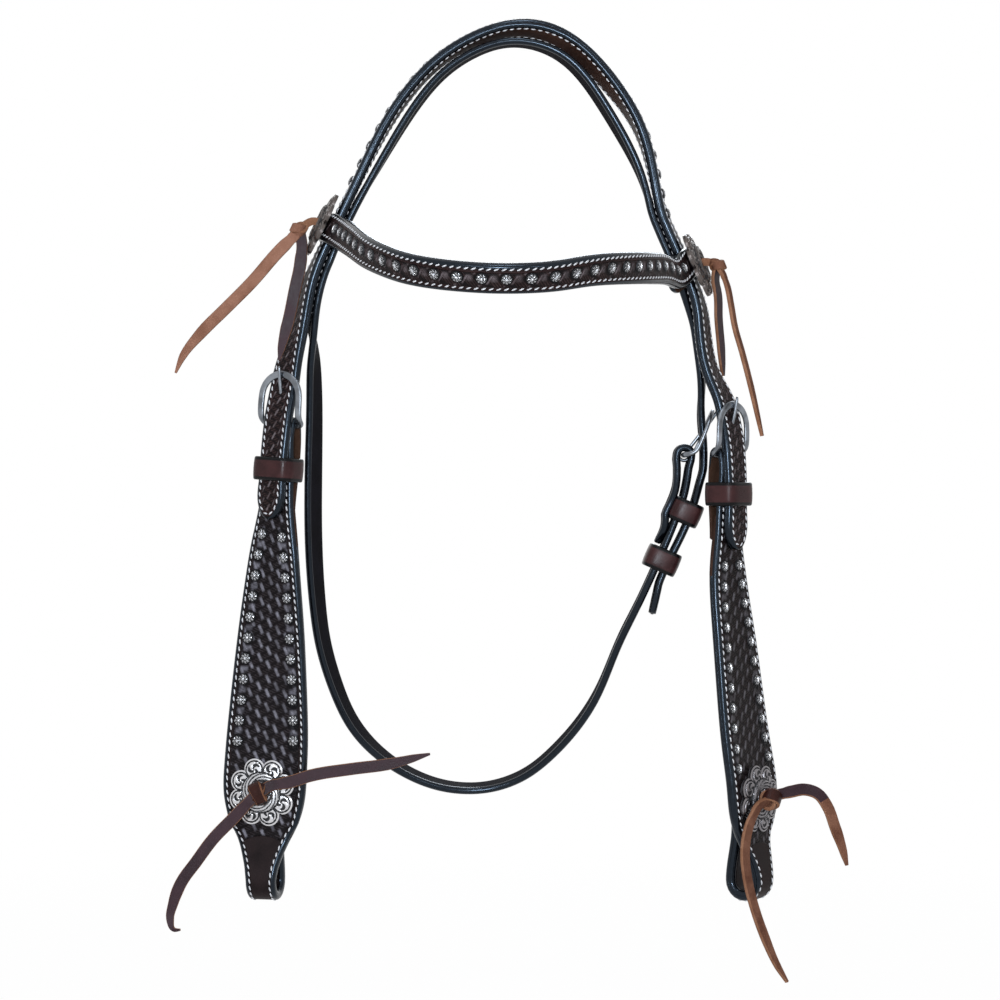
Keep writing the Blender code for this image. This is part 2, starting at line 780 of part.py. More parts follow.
def make_cheek_line(side, seats):
    # middle line of the cheek from the bar down to where its plies part, with its width directions
    seat, length, shares, turns = cheek_layout(side, seats)
    down = -seat.up
    stops = [cheek_flare * share for share, _ in cheek_flare_shares]
    stops = [stop for stop in stops if stop < cheek_straight] + [cheek_straight]
    rows = [knot(seat.at(-stop), seat.width, down) for stop in stops]
    straight_drop = Vector((0.0, 0.0, -1.0))
    foot = turned(straight_drop * side, turns[1])[0]
    for down_share, out_share, turn_share in shares:
        place = Vector((seat.origin.x + side * length * out_share, 0.0, seat.origin.z - length * down_share))
        turn = turns[0] + (turns[1] - turns[0]) * turn_share
        rows.append(knot(place, turned(straight_drop * side, turn)[0]))
    end = Vector((seat.origin.x + side * length * shares[-1][1], 0.0, seat.origin.z - length))
    rows.append(knot(end, foot, straight_drop))
    places, sides = route(rows, route_step)
    bit = Seat(end, -straight_drop, straight_drop * side, turns[1])
    return places, sides, bit


def make_cheek(side, seats, look):
    word = "left" if side < 0 else "right"
    seat, length, _, _ = cheek_layout(side, seats)
    line, line_sides, bit = make_cheek_line(side, seats)
    back_mid = -(chape_mid + cheek_lining_ply + clearance)
    pitch = (cheek_outer_ply + cheek_lining_ply) / 2 + clearance
    rows = [knot(seat.at(-a, -chape_mid), seat.width, seat.up) for a in (chape_length, 0.0)]
    rows += arc_knots(seat, chape_mid)
    places, sides = route(rows, fold_step)
    front = shifted(line, line_sides, -1 if side < 0 else 1, chape_mid)
    start = len(places)
    places += front
    sides += line_sides
    front_out, back_out = chape_mid + loop_front_bulge, back_mid - loop_back_bulge
    round_out, radius = (front_out + back_out) / 2, (front_out - back_out) / 2
    centre = -(loop_drop - cheek_outer_ply / 2 - radius)
    rows = [knot(bit.at(0.0, chape_mid), bit.width, -bit.up)]
    for k in range(loop_arc_count + 1):
        angle = math.pi * k / loop_arc_count
        place = bit.at(centre - radius * math.sin(angle), round_out + radius * math.cos(angle))
        rows.append(knot(place, bit.width, -bit.up * math.cos(angle) - bit.face * math.sin(angle)))
    rows.append(knot(bit.at(0.0, back_mid), bit.width, bit.up))
    rows.append(knot(bit.at(loop_tail, back_mid), bit.width, bit.up))
    loop, loop_sides = route(rows, fold_step)
    places += loop[1:]
    sides += loop_sides[1:]
    run = lengths(places)
    bar_run = run[start]
    junction = run[start + len(front) - 1]
    widths = []
    for s in run:
        wide = cheek_width(s - bar_run)
        if s > junction + loop_drop * taper_shares[0][0]:
            share = table((s - junction) / loop_drop, taper_shares)
            wide = bit_strap_width + (wide - bit_strap_width) * share
        widths.append(wide)
    sign = -1 if side < 0 else 1
    outer = ribbon(f"{word}_cheek_outer", places, sides, widths, cheek_outer_ply, look["tooled"], sign)
    inner = shifted(places, sides, sign, -pitch)
    first = next(i for i, s in enumerate(run) if s > bar_run + lining_start)
    lining = ribbon(
        f"{word}_cheek_lining",
        inner[first:],
        sides[first:],
        widths[first:],
        cheek_lining_ply,
        look["lining"],
        sign,
    )
    return outer, lining, bit


# Buckles


# Half a buckle's centre line: shares of its half span, of its leg's width and of its setback, and how
# flat the metal is there, from the middle of the bar to the foot of the leg
frame_side_shares = (
    (0.0, 0.0, 0.0, 0.0),
    (0.55, 0.0, 0.0, 0.0),
    (0.86, 0.0, 0.03, 0.2),
    (0.98, 0.22, 0.30, 0.5),
    (1.0, 0.70, 0.75, 0.8),
    (1.0, 1.35, 1.0, 1.0),
)
frame_square_share = 0.35
# The tongue's curl round the bar in degrees, then shares of the curl's radius along its arm and aside
tongue_curl_degrees = (0, -35, -70, -105, -140, -175, -210, -238, -260)
tongue_arm_shares = ((1.16, -0.10), (1.40, -0.02), (1.75, 0.0), (2.2, 0.0))
tongue_tip_share = 0.7
hole_room_share = 0.7
tongue_out = frame_setback + frame_thickness / 2 + clearance + tongue_radius


def frame_path():
    # the buckle's centre line as (front, along, out) from the middle of its bar, with its flatness
    half = frame_half_span
    rows = []
    for front, along, out, flat in frame_side_shares:
        rows.append((half * front, frame_leg_width * along, frame_setback * out, flat))
    rows.append((half, frame_leg_height, frame_setback, 1.0))
    for k in range(1, bow_count):
        angle = math.pi * k / bow_count
        rows.append((half * math.cos(angle), frame_leg_height + half * math.sin(angle), frame_setback, 1.0))
    side = rows[1 : len(frame_side_shares) + 1]
    return rows + [(-front, along, out, flat) for front, along, out, flat in side[::-1]]


def make_frame(name, seat, look):
    path = frame_path()
    count = len(path)
    centres = [seat.at(along, out, front) for front, along, out, _ in path]
    rings = []
    for i in range(count):
        way = (centres[(i + 1) % count] - centres[i - 1]).normalized()
        flat = path[i][3]
        over = (seat.face - way * seat.face.dot(way)).normalized()
        across = way.cross(over)
        half_across = bar_radius + (frame_leg_width / 2 - bar_radius) * flat
        half_over = bar_radius + (frame_thickness / 2 - bar_radius) * flat
        square = 1.0 - frame_square_share * flat
        rings.append(oval(centres[i], across, over, half_across, half_over, square=square))
    return tube(name, rings, look["steel"], closed=True)


def tongue_line(reach_out):
    # the tongue's centre line as (along, out): a curl round the bar, then a straight arm over the arch
    curl = bar_radius + hole_clearance + tongue_radius
    rows = []
    for degrees in tongue_curl_degrees:
        angle = math.radians(degrees)
        rows.append((curl * math.sin(angle), curl * math.cos(angle)))
    tilt = math.atan2(reach_out, arch_top)
    for along_share, aside_share in tongue_arm_shares:
        along, aside = curl * along_share, curl * aside_share
        rows.append(
            (along * math.cos(tilt) - aside * math.sin(tilt), along * math.sin(tilt) + aside * math.cos(tilt))
        )
    rows.append((arch_top, reach_out))
    rows.append((arch_top + tongue_overhang, reach_out))
    return rows


def make_tongue(name, seat, look):
    centres = [seat.at(along, out) for along, out in tongue_line(tongue_out)]
    rings = []
    for i, centre in enumerate(centres):
        after = centres[min(i + 1, len(centres) - 1)]
        before = centres[max(i - 1, 0)]
        way = (after - before).normalized()
        over = seat.width.cross(way)
        radius = tongue_radius * (tongue_tip_share if i == len(centres) - 1 else 1.0)
        rings.append(oval(centre, seat.width, over, radius, radius, 6))
    return tube(name, rings, look["steel"], origin=seat.origin)


def slot_cutter(name, seat, look):
    # the slot through the chape's fold that the tongue's curl turns in
    curl = bar_radius + hole_clearance + tongue_radius * 2 + clearance
    half = tongue_radius + hole_clearance * 2
    reach = throat_chape_face + clearance
    bm = bmesh.new()
    bmesh.ops.create_cube(bm, size=2.0)
    made = solid(name, bm, look["steel"])
    basis = Matrix((seat.width * half, seat.up * ((curl + reach) / 2), seat.face * reach)).transposed()
    made.matrix_world = Matrix.Translation(seat.at((reach - curl) / 2)) @ basis.to_4x4()
    return made


def hole_cutter(name, seat, look):
    # the billet's hole: round the tongue's arm, with room for its small swing
    swung = seat.swung(tongue_swing / 2)
    start, end = tongue_line(tongue_out)[-3:-1]
    sweep = arch_top * math.sin(math.radians(tongue_swing / 2))
    room = tongue_radius + hole_clearance + sweep * hole_room_share
    a, b = swung.at(*start), swung.at(*end)
    way = (b - a).normalized()
    over = seat.width.cross(way)
    rings = [oval(p, seat.width, over, room, room) for p in (a - way * clearance, b)]
    return tube(name, rings, look["steel"])


# A keeper's four corners: which side each is on, and the angle its rounding starts from
keeper_corners = ((1, 1, 0), (-1, 1, 90), (-1, -1, 180), (1, -1, 270))


def make_keeper(name, seat, drop, back, front, wide, look):
    # a closed leather loop round the stack; back and front are its inner faces
    half = wide / 2 + clearance
    middle, deep = (front + back) / 2, (front - back) / 2

    def ring(along, grow):
        corners = []
        radius = keeper_corner + grow
        for side, face, start in keeper_corners:
            cx, cy = side * (half - keeper_corner), face * (deep - keeper_corner)
            for degrees in (start, start + 45, start + 90):
                angle = math.radians(degrees)
                out = middle + cy + radius * math.sin(angle)
                corners.append(seat.at(along, out, cx + radius * math.cos(angle)))
        return corners

    low, high = -drop - keeper_height / 2, -drop + keeper_height / 2
    rings = [ring(low, 0.0), ring(low, keeper_ply), ring(high, keeper_ply), ring(high, 0.0)]
    return tube(name, rings, look["keeper"], closed=True, origin=seat.at(-drop, middle))


# Conchos: share of the radius, share of the rise, and how much of the lobes' depth shows there
concho_shares = (
    (0.30, 0.55, 0.0),
    (0.38, 0.95, 0.0),
    (0.50, 1.00, 0.0),
    (0.60, 0.62, 0.15),
    (0.86, 0.42, 0.8),
    (1.0, 0.0, 1.0),
)
hole_edge_share = 0.5
# The wrapped knot: share of its half depth along the string, and share of its full thickness there
knot_shares = ((-0.75, 0.75), (-0.2, 1.0), (0.5, 0.95), (0.95, 0.62))
lobe_count = 8
lobe_depth_share = 0.10
points_per_lobe = 5


def make_concho(name, seat, along, out, look):
    count = lobe_count * points_per_lobe
    rings = []

    def ring(radius_share, height, lobes):
        points = []
        for k in range(count):
            angle = 2 * math.pi * k / count
            lobe = abs(math.sin(lobe_count * angle / 2))
            radius = concho_radius * radius_share * (1 - lobe_depth_share * lobes * (1 - lobe))
            points.append(seat.at(along + radius * math.cos(angle), out + height, radius * math.sin(angle)))
        return points

    hole = concho_hole_radius / concho_radius
    rings.append(ring(hole, 0.0, 0.0))
    rings.append(ring(hole, concho_edge + (concho_rise - concho_edge) * hole_edge_share, 0.0))
    for radius_share, rise_share, lobes in concho_shares:
        rings.append(ring(radius_share, concho_edge + (concho_rise - concho_edge) * rise_share, lobes))
    rings.append(ring(1.0, 0.0, 1.0))
    return tube(name, rings, look["silver"], closed=True)


def make_tie(name, seat, along, base, knot_along, knot_out, look):
    # the strings' neck through the concho and the wrapped knot in front of it
    start = seat.at(along, base)
    top = seat.at(along, base + concho_rise + clearance)
    middle = seat.at(knot_along, knot_out)
    way = (middle - top).normalized()
    across = seat.width
    over = way.cross(across).normalized()
    neck_over = seat.face.cross(seat.width)
    rings = [
        oval(start, across, neck_over, tie_neck_radius, tie_neck_radius),
        oval(top, across, neck_over, tie_neck_radius, tie_neck_radius),
    ]
    for share, swell in knot_shares:
        centre = middle + way * (tie_knot_half_depth * share)
        rings.append(oval(centre, across, over, tie_knot_half_width * swell, tie_knot_half_height * swell))
    return tube(name, rings, look["string"])


# Strings: share of the length, and share of the full width there
tail_width_shares = ((0.0, 0.75), (0.08, 1.0), (0.72, 0.95), (0.90, 0.6), (1.0, 0.18))
# How far each one's flat side has turned from the front, and the route it hangs along
tails = {
    "left_brow_string_long": (
        0,
        (
            (-0.1132, -0.003, -0.0986), (-0.1219, -0.005, -0.1075), (-0.1353, -0.007, -0.1232),
            (-0.1486, -0.008, -0.1367), (-0.1615, -0.009, -0.1497), (-0.1708, -0.0095, -0.1616),
            (-0.1746, -0.01, -0.1704),
        ),
    ),
    "left_brow_string_short": (
        0,
        (
            (-0.1096, -0.003, -0.1053), (-0.1106, -0.0035, -0.1147), (-0.1132, -0.0035, -0.1266),
            (-0.1163, -0.0038, -0.1417), (-0.1199, -0.0044, -0.1557), (-0.1214, -0.0048, -0.1635),
        ),
    ),
    "right_brow_string_long": (
        58,
        (
            (0.109, -0.003, -0.1188), (0.1112, -0.004, -0.1251), (0.113, -0.005, -0.1345),
            (0.115, -0.006, -0.1464), (0.1186, -0.007, -0.1594), (0.1231, -0.008, -0.1771),
            (0.1288, -0.009, -0.203),
        ),
    ),
    "right_brow_string_short": (
        55,
        (
            (0.1053, 0.001, -0.1227), (0.1068, 0.004, -0.1298), (0.1073, 0.007, -0.1411),
            (0.1087, 0.0095, -0.1556), (0.1099, 0.011, -0.1712),
        ),
    ),
    "left_cheek_string_inner": (
        0,
        (
            (-0.1241, -0.012, -0.3833), (-0.1152, -0.0125, -0.3817), (-0.1054, -0.013, -0.3786),
            (-0.0837, -0.013, -0.375), (-0.0651, -0.013, -0.3726), (-0.0429, -0.013, -0.3672),
        ),
    ),
    "left_cheek_string_outer": (
        0,
        (
            (-0.1359, -0.0129, -0.3913), (-0.1452, -0.012, -0.4011), (-0.1551, -0.0115, -0.4113),
            (-0.1639, -0.011, -0.4232), (-0.1717, -0.0105, -0.4341), (-0.1759, -0.01, -0.445),
            (-0.1774, -0.01, -0.4528), (-0.1755, -0.011, -0.4581), (-0.1721, -0.012, -0.4582),
        ),
    ),
    "right_cheek_string_outer": (
        0,
        (
            (0.1379, -0.0043, -0.3889), (0.1445, -0.006, -0.3872), (0.1506, -0.008, -0.386),
            (0.1576, -0.01, -0.3881), (0.1622, -0.0115, -0.3942), (0.1662, -0.0125, -0.405),
            (0.17, -0.0135, -0.4162), (0.1722, -0.014, -0.4247),
        ),
    ),
    "right_cheek_string_inner": (
        0,
        (
            (0.1256, -0.0155, -0.3953), (0.1225, -0.0165, -0.4015), (0.1201, -0.018, -0.4096),
            (0.1193, -0.019, -0.4188), (0.1208, -0.0185, -0.4322), (0.1246, -0.016, -0.4469),
            (0.1305, -0.013, -0.4632), (0.1359, -0.01, -0.4755), (0.1419, -0.007, -0.4858),
        ),
    ),
}


def make_tail(name, turn, points, look):
    rows = [knot(p, turn=turn) for p in points]
    places, sides = route(rows, route_step)
    run = lengths(places)
    widths = [string_width * table(s / run[-1], tail_width_shares) for s in run]
    return ribbon(name, places, sides, widths, string_thickness, look["string"])


def main():
    clear_scene()
    look = finishes()
    seats = make_seats()
    crown = make_crown(seats, look)
    throat = make_throatlatch(seats, look)
    make_browband(seats, look)
    cheeks = {side: make_cheek(side, seats, look) for side in (-1, 1)}
    throat_frame_seat = seats["throat"].swung(throat_frame_swing)
    buckles = (
        ("left_cheek", seats["buckle_left"], seats["buckle_left"], cheeks[-1][0], crown),
        ("right_cheek", seats["buckle_right"], seats["buckle_right"], cheeks[1][0], crown),
        ("throat", seats["throat"], throat_frame_seat, throat, (throat,)),
    )
    for word, seat, frame_seat, chape, billets in buckles:
        make_frame(f"{word}_buckle_frame", frame_seat, look)
        make_tongue(f"{word}_buckle_tongue", frame_seat, look)
        cut(chape, slot_cutter(f"{word}_chape_slot", seat, look))
        hole = hole_cutter(f"{word}_billet_hole", frame_seat, look)
        for billet in billets:
            cut(billet, hole)
    keeper_back = -chape_face - clearance
    keeper_front = billet_face + clearance
    for word, drop in (("left", cheek_keeper_drop_left), ("right", cheek_keeper_drop_right)):
        seat = seats[f"buckle_{word}"]
        make_keeper(f"{word}_cheek_keeper", seat, drop, keeper_back, keeper_front, cheek_top_width, look)
    lower = throat_lower_seat(seats["throat"])
    strap_back = -throat_thickness / 2 - clearance
    make_keeper(
        "throat_keeper_sewn",
        lower,
        throat_keeper_upper_drop,
        strap_back,
        throat_thickness * sewn_keeper_share - strap_back,
        throat_width,
        look,
    )
    make_keeper(
        "throat_keeper_sliding",
        lower,
        throat_keeper_lower_drop,
        strap_back - throat_keeper_slack,
        throat_thickness * sliding_keeper_share - strap_back,
        throat_width,
        look,
    )
    wrap_face = wrap_out + brow_outer_ply / 2 + clearance
    cheek_face = chape_face + clearance
    knot_gap = clearance + tie_knot_half_depth
    make_concho("left_brow_concho", seats["brow_left"], 0.0, wrap_face, look)
    make_concho("right_brow_concho", seats["brow_right"], -right_concho_fall, wrap_face, look)
    hung = wrap_face + concho_rise + knot_gap + knot_lift
    make_tie("left_brow_tie", seats["brow_left"], 0.0, wrap_face, -knot_fall, hung, look)
    make_tie("right_brow_tie", seats["brow_right"], -right_concho_fall, wrap_face, -knot_fall, hung, look)
    for side, word, rise in ((-1, "left", left_concho_rise), (1, "right", right_concho_rise)):
        bit = cheeks[side][2]
        make_concho(f"{word}_cheek_concho", bit, rise, cheek_face, look)
        make_tie(f"{word}_cheek_tie", bit, rise, cheek_face, rise, cheek_face + concho_rise + knot_gap, look)
    for name, (turn, points) in tails.items():
        make_tail(name, turn, points, look)


main()
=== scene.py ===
import math

import bmesh
import bpy
import numpy as np
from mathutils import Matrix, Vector


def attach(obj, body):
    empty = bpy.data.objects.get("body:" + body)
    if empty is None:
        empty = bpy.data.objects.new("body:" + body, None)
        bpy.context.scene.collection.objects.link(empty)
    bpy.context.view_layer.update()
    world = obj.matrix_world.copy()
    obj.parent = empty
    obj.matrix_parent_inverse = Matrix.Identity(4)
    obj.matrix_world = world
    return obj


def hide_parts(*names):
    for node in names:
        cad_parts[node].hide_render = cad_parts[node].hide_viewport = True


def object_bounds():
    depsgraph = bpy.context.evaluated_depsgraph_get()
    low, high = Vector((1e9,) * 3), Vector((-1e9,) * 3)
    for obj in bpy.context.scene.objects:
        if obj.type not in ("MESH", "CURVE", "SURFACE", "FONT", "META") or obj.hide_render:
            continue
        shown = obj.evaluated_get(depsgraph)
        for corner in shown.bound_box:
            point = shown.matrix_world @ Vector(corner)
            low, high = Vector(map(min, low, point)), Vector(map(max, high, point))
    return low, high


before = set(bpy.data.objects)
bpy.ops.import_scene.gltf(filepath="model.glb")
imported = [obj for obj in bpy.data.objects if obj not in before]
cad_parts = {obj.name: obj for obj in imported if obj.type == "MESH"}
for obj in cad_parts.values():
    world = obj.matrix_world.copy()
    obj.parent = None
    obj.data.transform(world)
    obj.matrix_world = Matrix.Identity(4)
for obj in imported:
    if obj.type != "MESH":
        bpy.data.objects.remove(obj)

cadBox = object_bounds()
scene = bpy.context.scene
headMiddle = Vector((0.0, 0.02, -0.2))  # everything worn faces away from here
print("frame loaded")


# Small helpers


def deselectAll():
    for item in bpy.context.selected_objects:
        item.select_set(False)


def takeUp(piece):
    deselectAll()
    piece.select_set(True)
    bpy.context.view_layer.objects.active = piece


def settle(piece, name, body, nodes=()):
    # names a finished piece, hangs it on its body and hides the CAD nodes it stands for
    piece.name = name
    piece.data.name = name
    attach(piece, body)
    if nodes:
        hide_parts(*nodes)


def gridPiece(rows):
    # a primitive grid pulled onto rows of points
    across, along = len(rows[0]), len(rows)
    deselectAll()
    bpy.ops.mesh.primitive_grid_add(x_subdivisions=across - 1, y_subdivisions=along - 1, size=1)
    piece = bpy.context.object
    piece.data.vertices.foreach_set("co", np.array(rows, dtype=float).reshape(-1))
    return piece


def gridUv(piece, name, values):
    # one pair of numbers for each grid point, as a UV map
    layer = piece.data.uv_layers.new(name=name)
    flat = np.array(values, dtype=float).reshape(-1, 2)
    corners = np.zeros(len(piece.data.loops), dtype=int)
    piece.data.loops.foreach_get("vertex_index", corners)
    layer.data.foreach_set("uv", flat[corners].reshape(-1))


def joinSeam(piece, distance=1e-6, outwards=True):
    takeUp(piece)
    bpy.ops.object.mode_set(mode="EDIT")
    bpy.ops.mesh.select_all(action="SELECT")
    bpy.ops.mesh.remove_doubles(threshold=distance)
    if outwards:
        bpy.ops.mesh.normals_make_consistent(inside=False)
    bpy.ops.object.mode_set(mode="OBJECT")


def smooth(piece, degrees=35):
    takeUp(piece)
    bpy.ops.object.shade_smooth_by_angle(angle=math.radians(degrees))


def modify(piece, kind, **settings):
    takeUp(piece)
    modifier = piece.modifiers.new(kind.lower(), kind)
    for key, value in settings.items():
        setattr(modifier, key, value)
    bpy.ops.object.modifier_apply(modifier=modifier.name)


# Camera, light and floor

cameraLook = {"place": (-0.0068, -1.8, -0.2361), "lens": 124.6, "sensor": 36.0}
lamps = (
    {"name": "front softbox", "place": (-0.14, -2.05, -0.04), "size": (0.38, 0.30), "power": 25.0},
    {"name": "left front lamp", "place": (-0.75, -1.80, 0.45), "size": (0.25, 0.25), "power": 4.0},
    {"name": "right front lamp", "place": (0.85, -1.60, 0.25), "size": (0.20, 0.30), "power": 2.5},
    {"name": "top lamp", "place": (0.00, -0.60, 1.10), "size": (0.30, 0.15), "power": 4.0},
    {"name": "back lamp", "place": (0.20, 1.40, 0.45), "size": (0.6, 0.6), "power": 7.0},
)
lampColour = (0.84, 0.92, 1.0)
worldLook = {"colour": (1.0, 1.0, 1.0, 1.0), "light": 0.22, "seen": 1.0}
floorLook = {"drop": 0.03, "size": 6.0, "near": 0.5, "far": 1.0, "colour": (1.0, 1.0, 1.0, 1.0), "glow": 0.98}


def addCamera(look):
    bpy.ops.object.camera_add(location=look["place"], rotation=(math.radians(90), 0, 0))
    camera = bpy.context.object
    camera.name = "photo camera"
    camera.data.sensor_width = look["sensor"]
    camera.data.lens = look["lens"]
    scene.camera = camera


def addLamp(look):
    bpy.ops.object.light_add(type="AREA", location=look["place"])
    lamp = bpy.context.object
    lamp.name = look["name"]
    lamp.data.shape = "RECTANGLE"
    lamp.data.size, lamp.data.size_y = look["size"]
    lamp.data.color = lampColour
    lamp.data.energy = look["power"]
    aim = Vector((0.0, 0.0, -0.24)) - Vector(look["place"])
    lamp.rotation_euler = aim.to_track_quat("-Z", "Y").to_euler()


def mathNode(operation, turned=False):
    # a method that adds a Math node; turned puts the shader value last, for the reflected forms
    def act(self, *others):
        values = (*others, self) if turned else (self, *others)
        return self.make("ShaderNodeMath", {"operation": operation}, dict(enumerate(values)))

    return act


class Shade:
    # one shader value; Python's operators on it add Math nodes
    __add__, __radd__ = mathNode("ADD"), mathNode("ADD", True)
    __sub__, __rsub__ = mathNode("SUBTRACT"), mathNode("SUBTRACT", True)
    __mul__, __rmul__ = mathNode("MULTIPLY"), mathNode("MULTIPLY", True)
    __truediv__ = mathNode("DIVIDE")
    __gt__, __lt__ = mathNode("GREATER_THAN"), mathNode("LESS_THAN")
    floor, size, sine = mathNode("FLOOR"), mathNode("ABSOLUTE"), mathNode("SINE")
    least, most = mathNode("MINIMUM"), mathNode("MAXIMUM")

    def __init__(self, tree, end=None):
        self.tree = tree
        self.end = end

    def make(self, kind, settings=None, given=None, output=0):
        # any node: its type, its settings, then the values or links of its sockets
        node = self.tree.nodes.new(kind)
        for key, value in (settings or {}).items():
            setattr(node, key, value)
        for key, value in (given or {}).items():
            if isinstance(value, Shade):
                self.tree.links.new(value.end, node.inputs[key])
            else:
                node.inputs[key].default_value = value
        return Shade(self.tree, node.outputs[output])

    def between(self, low, high):
        # eases from 0 at low to 1 at high
        given = {"Value": self, "From Min": low, "From Max": high}
        return self.make("ShaderNodeMapRange", {"interpolation_type": "SMOOTHSTEP"}, given)

    def near(self, place, inner, outer):
        # 1 at a value, 0 from outer away
        return 1 - (self - place).size().between(inner, outer)

    def remapped(self, low, high):
        return self.make("ShaderNodeMapRange", None, {"Value": self, "To Min": low, "To Max": high})

    def parts(self):
        return [self.make("ShaderNodeSeparateXYZ", None, {"Vector": self}, k) for k in range(3)]

    def objectPlace(self):
        return self.make("ShaderNodeTexCoord", None, None, 3)

    def map(self, name):
        return self.make("ShaderNodeUVMap", {"uv_map": name}).parts()

    def noise(self, place, scale, detail=3.0):
        return self.make("ShaderNodeTexNoise", None, {"Vector": place, "Scale": scale, "Detail": detail})

    def patches(self, place, scale, detail=4.0, span=(0.3, 0.7)):
        return self.noise(place, scale, detail).between(*span)

    def grain(self, place, scale=1500.0):
        # fine pores and creases of leather, 0 to 1
        given = {"Vector": place, "Scale": scale}
        creases = self.make("ShaderNodeTexVoronoi", {"feature": "DISTANCE_TO_EDGE"}, given).between(0.0, 0.35)
        return creases * 0.6 + self.noise(place, scale * 1.7, 2.0) * 0.4

    def blend(self, first, second):
        # a colour from first, where this value is 0, to second, where it is 1
        return self.make("ShaderNodeMix", {"data_type": "RGBA"}, {"Factor": self, 6: first, 7: second}, 2)

    def bump(self, distance, strength=1.0):
        return self.make("ShaderNodeBump", None, {"Height": self, "Distance": distance, "Strength": strength})

    def seen(self):
        # 1 for what the camera sees, also in metal and glass
        camera, glossy, through = (self.make("ShaderNodeLightPath", None, None, k) for k in (0, 3, 6))
        return camera.most(glossy).most(through)


def finish(name, surface, fixed=None):
    # a Principled material; fixed values sit on its own sockets, surface gives the varying ones, worked
    # out from a shade and the object's own coordinates
    material = bpy.data.materials.new(name)
    material.use_nodes = True
    shader = material.node_tree.nodes["Principled BSDF"]
    for key, value in (fixed or {}).items():
        shader.inputs[key].default_value = value
    shade = Shade(material.node_tree)
    for key, value in surface(shade, shade.objectPlace()).items():
        material.node_tree.links.new(value.end, shader.inputs[key])
    return material


def lightWorld(look):
    world = bpy.data.worlds.new("pale studio")
    scene.world = world
    world.use_nodes = True
    light = look["light"] + Shade(world.node_tree).seen() * (look["seen"] - look["light"])
    background = world.node_tree.nodes["Background"]
    background.inputs["Color"].default_value = look["colour"]
    world.node_tree.links.new(light.end, background.inputs["Strength"])


def addFloor(look):
    low = cadBox[0][2] - look["drop"]
    deselectAll()
    bpy.ops.mesh.primitive_circle_add(vertices=96, radius=look["size"] / 2, fill_type="NGON",
                                      location=(0, 0, low))
    floor = bpy.context.object
    floor.name = "studio_floor"
    bpy.ops.object.transform_apply(location=True, rotation=False, scale=False)
    material = bpy.data.materials.new("studio floor")
    material.use_nodes = True
    tree = material.node_tree
    shader = tree.nodes["Principled BSDF"]
    shader.inputs["Base Color"].default_value = look["colour"]
    shader.inputs["Roughness"].default_value = 0.9
    shader.inputs["Specular IOR Level"].default_value = 0.1
    shade = Shade(tree)
    east, north, _ = shade.objectPlace().parts()
    away = (east * east + north * north).between(look["near"] ** 2, look["far"] ** 2)
    seen = shade.seen() * (look["glow"] + away * (1 - look["glow"]))
    glow = shade.make("ShaderNodeEmission", None, {"Color": (1, 1, 1, 1), "Strength": 1.0})
    mixed = shade.make("ShaderNodeMixShader", None, {0: seen, 1: Shade(tree, shader.outputs[0]), 2: glow})
    tree.links.new(mixed.end, tree.nodes["Material Output"].inputs["Surface"])
    floor.data.materials.append(material)


scene.view_settings.view_transform = "Standard"
addCamera(cameraLook)
for lampLook in lamps:
    addLamp(lampLook)
lightWorld(worldLook)
addFloor(floorLook)
print("camera, lamps and floor placed")


# Leather finishes

def laceFinish(name, tones, roughness, fuzz):
    def surface(shade, place):
        patches = shade.patches(place, 110.0)
        grain = shade.grain(place, 900.0 if fuzz else 1400.0)
        return {
            "Base Color": (patches * 0.6 + grain * 0.4).blend(*tones),
            "Roughness": patches.remapped(roughness, roughness + 0.12),
            "Normal": grain.bump(0.00012 if fuzz else 0.00006, 0.9),
        }

    return finish(name, surface, {"Specular IOR Level": 0.05 if fuzz else 0.14})


# name, dark and light tone, roughness and whether it is fuzzy
latigoLook = {
    "grain": ("latigo grain", ((0.020, 0.009, 0.012, 1), (0.048, 0.023, 0.029, 1)), 0.36, False),
    "knot": ("latigo grain in the knots", ((0.016, 0.004, 0.003, 1), (0.055, 0.016, 0.011, 1)), 0.32, False),
    "flesh": ("latigo flesh", ((0.190, 0.082, 0.050, 1), (0.350, 0.172, 0.115, 1)), 0.72, True),
    "suede": ("darker latigo flesh", ((0.105, 0.040, 0.024, 1), (0.260, 0.120, 0.075, 1)), 0.75, True),
    "edge": ("latigo cut edge", ((0.180, 0.075, 0.040, 1), (0.340, 0.170, 0.100, 1)), 0.62, True),
}
latigo = {key: laceFinish(*look) for key, look in latigoLook.items()}


# Latigo strings: a turn from the front, the side that shows and the points that each one hangs along

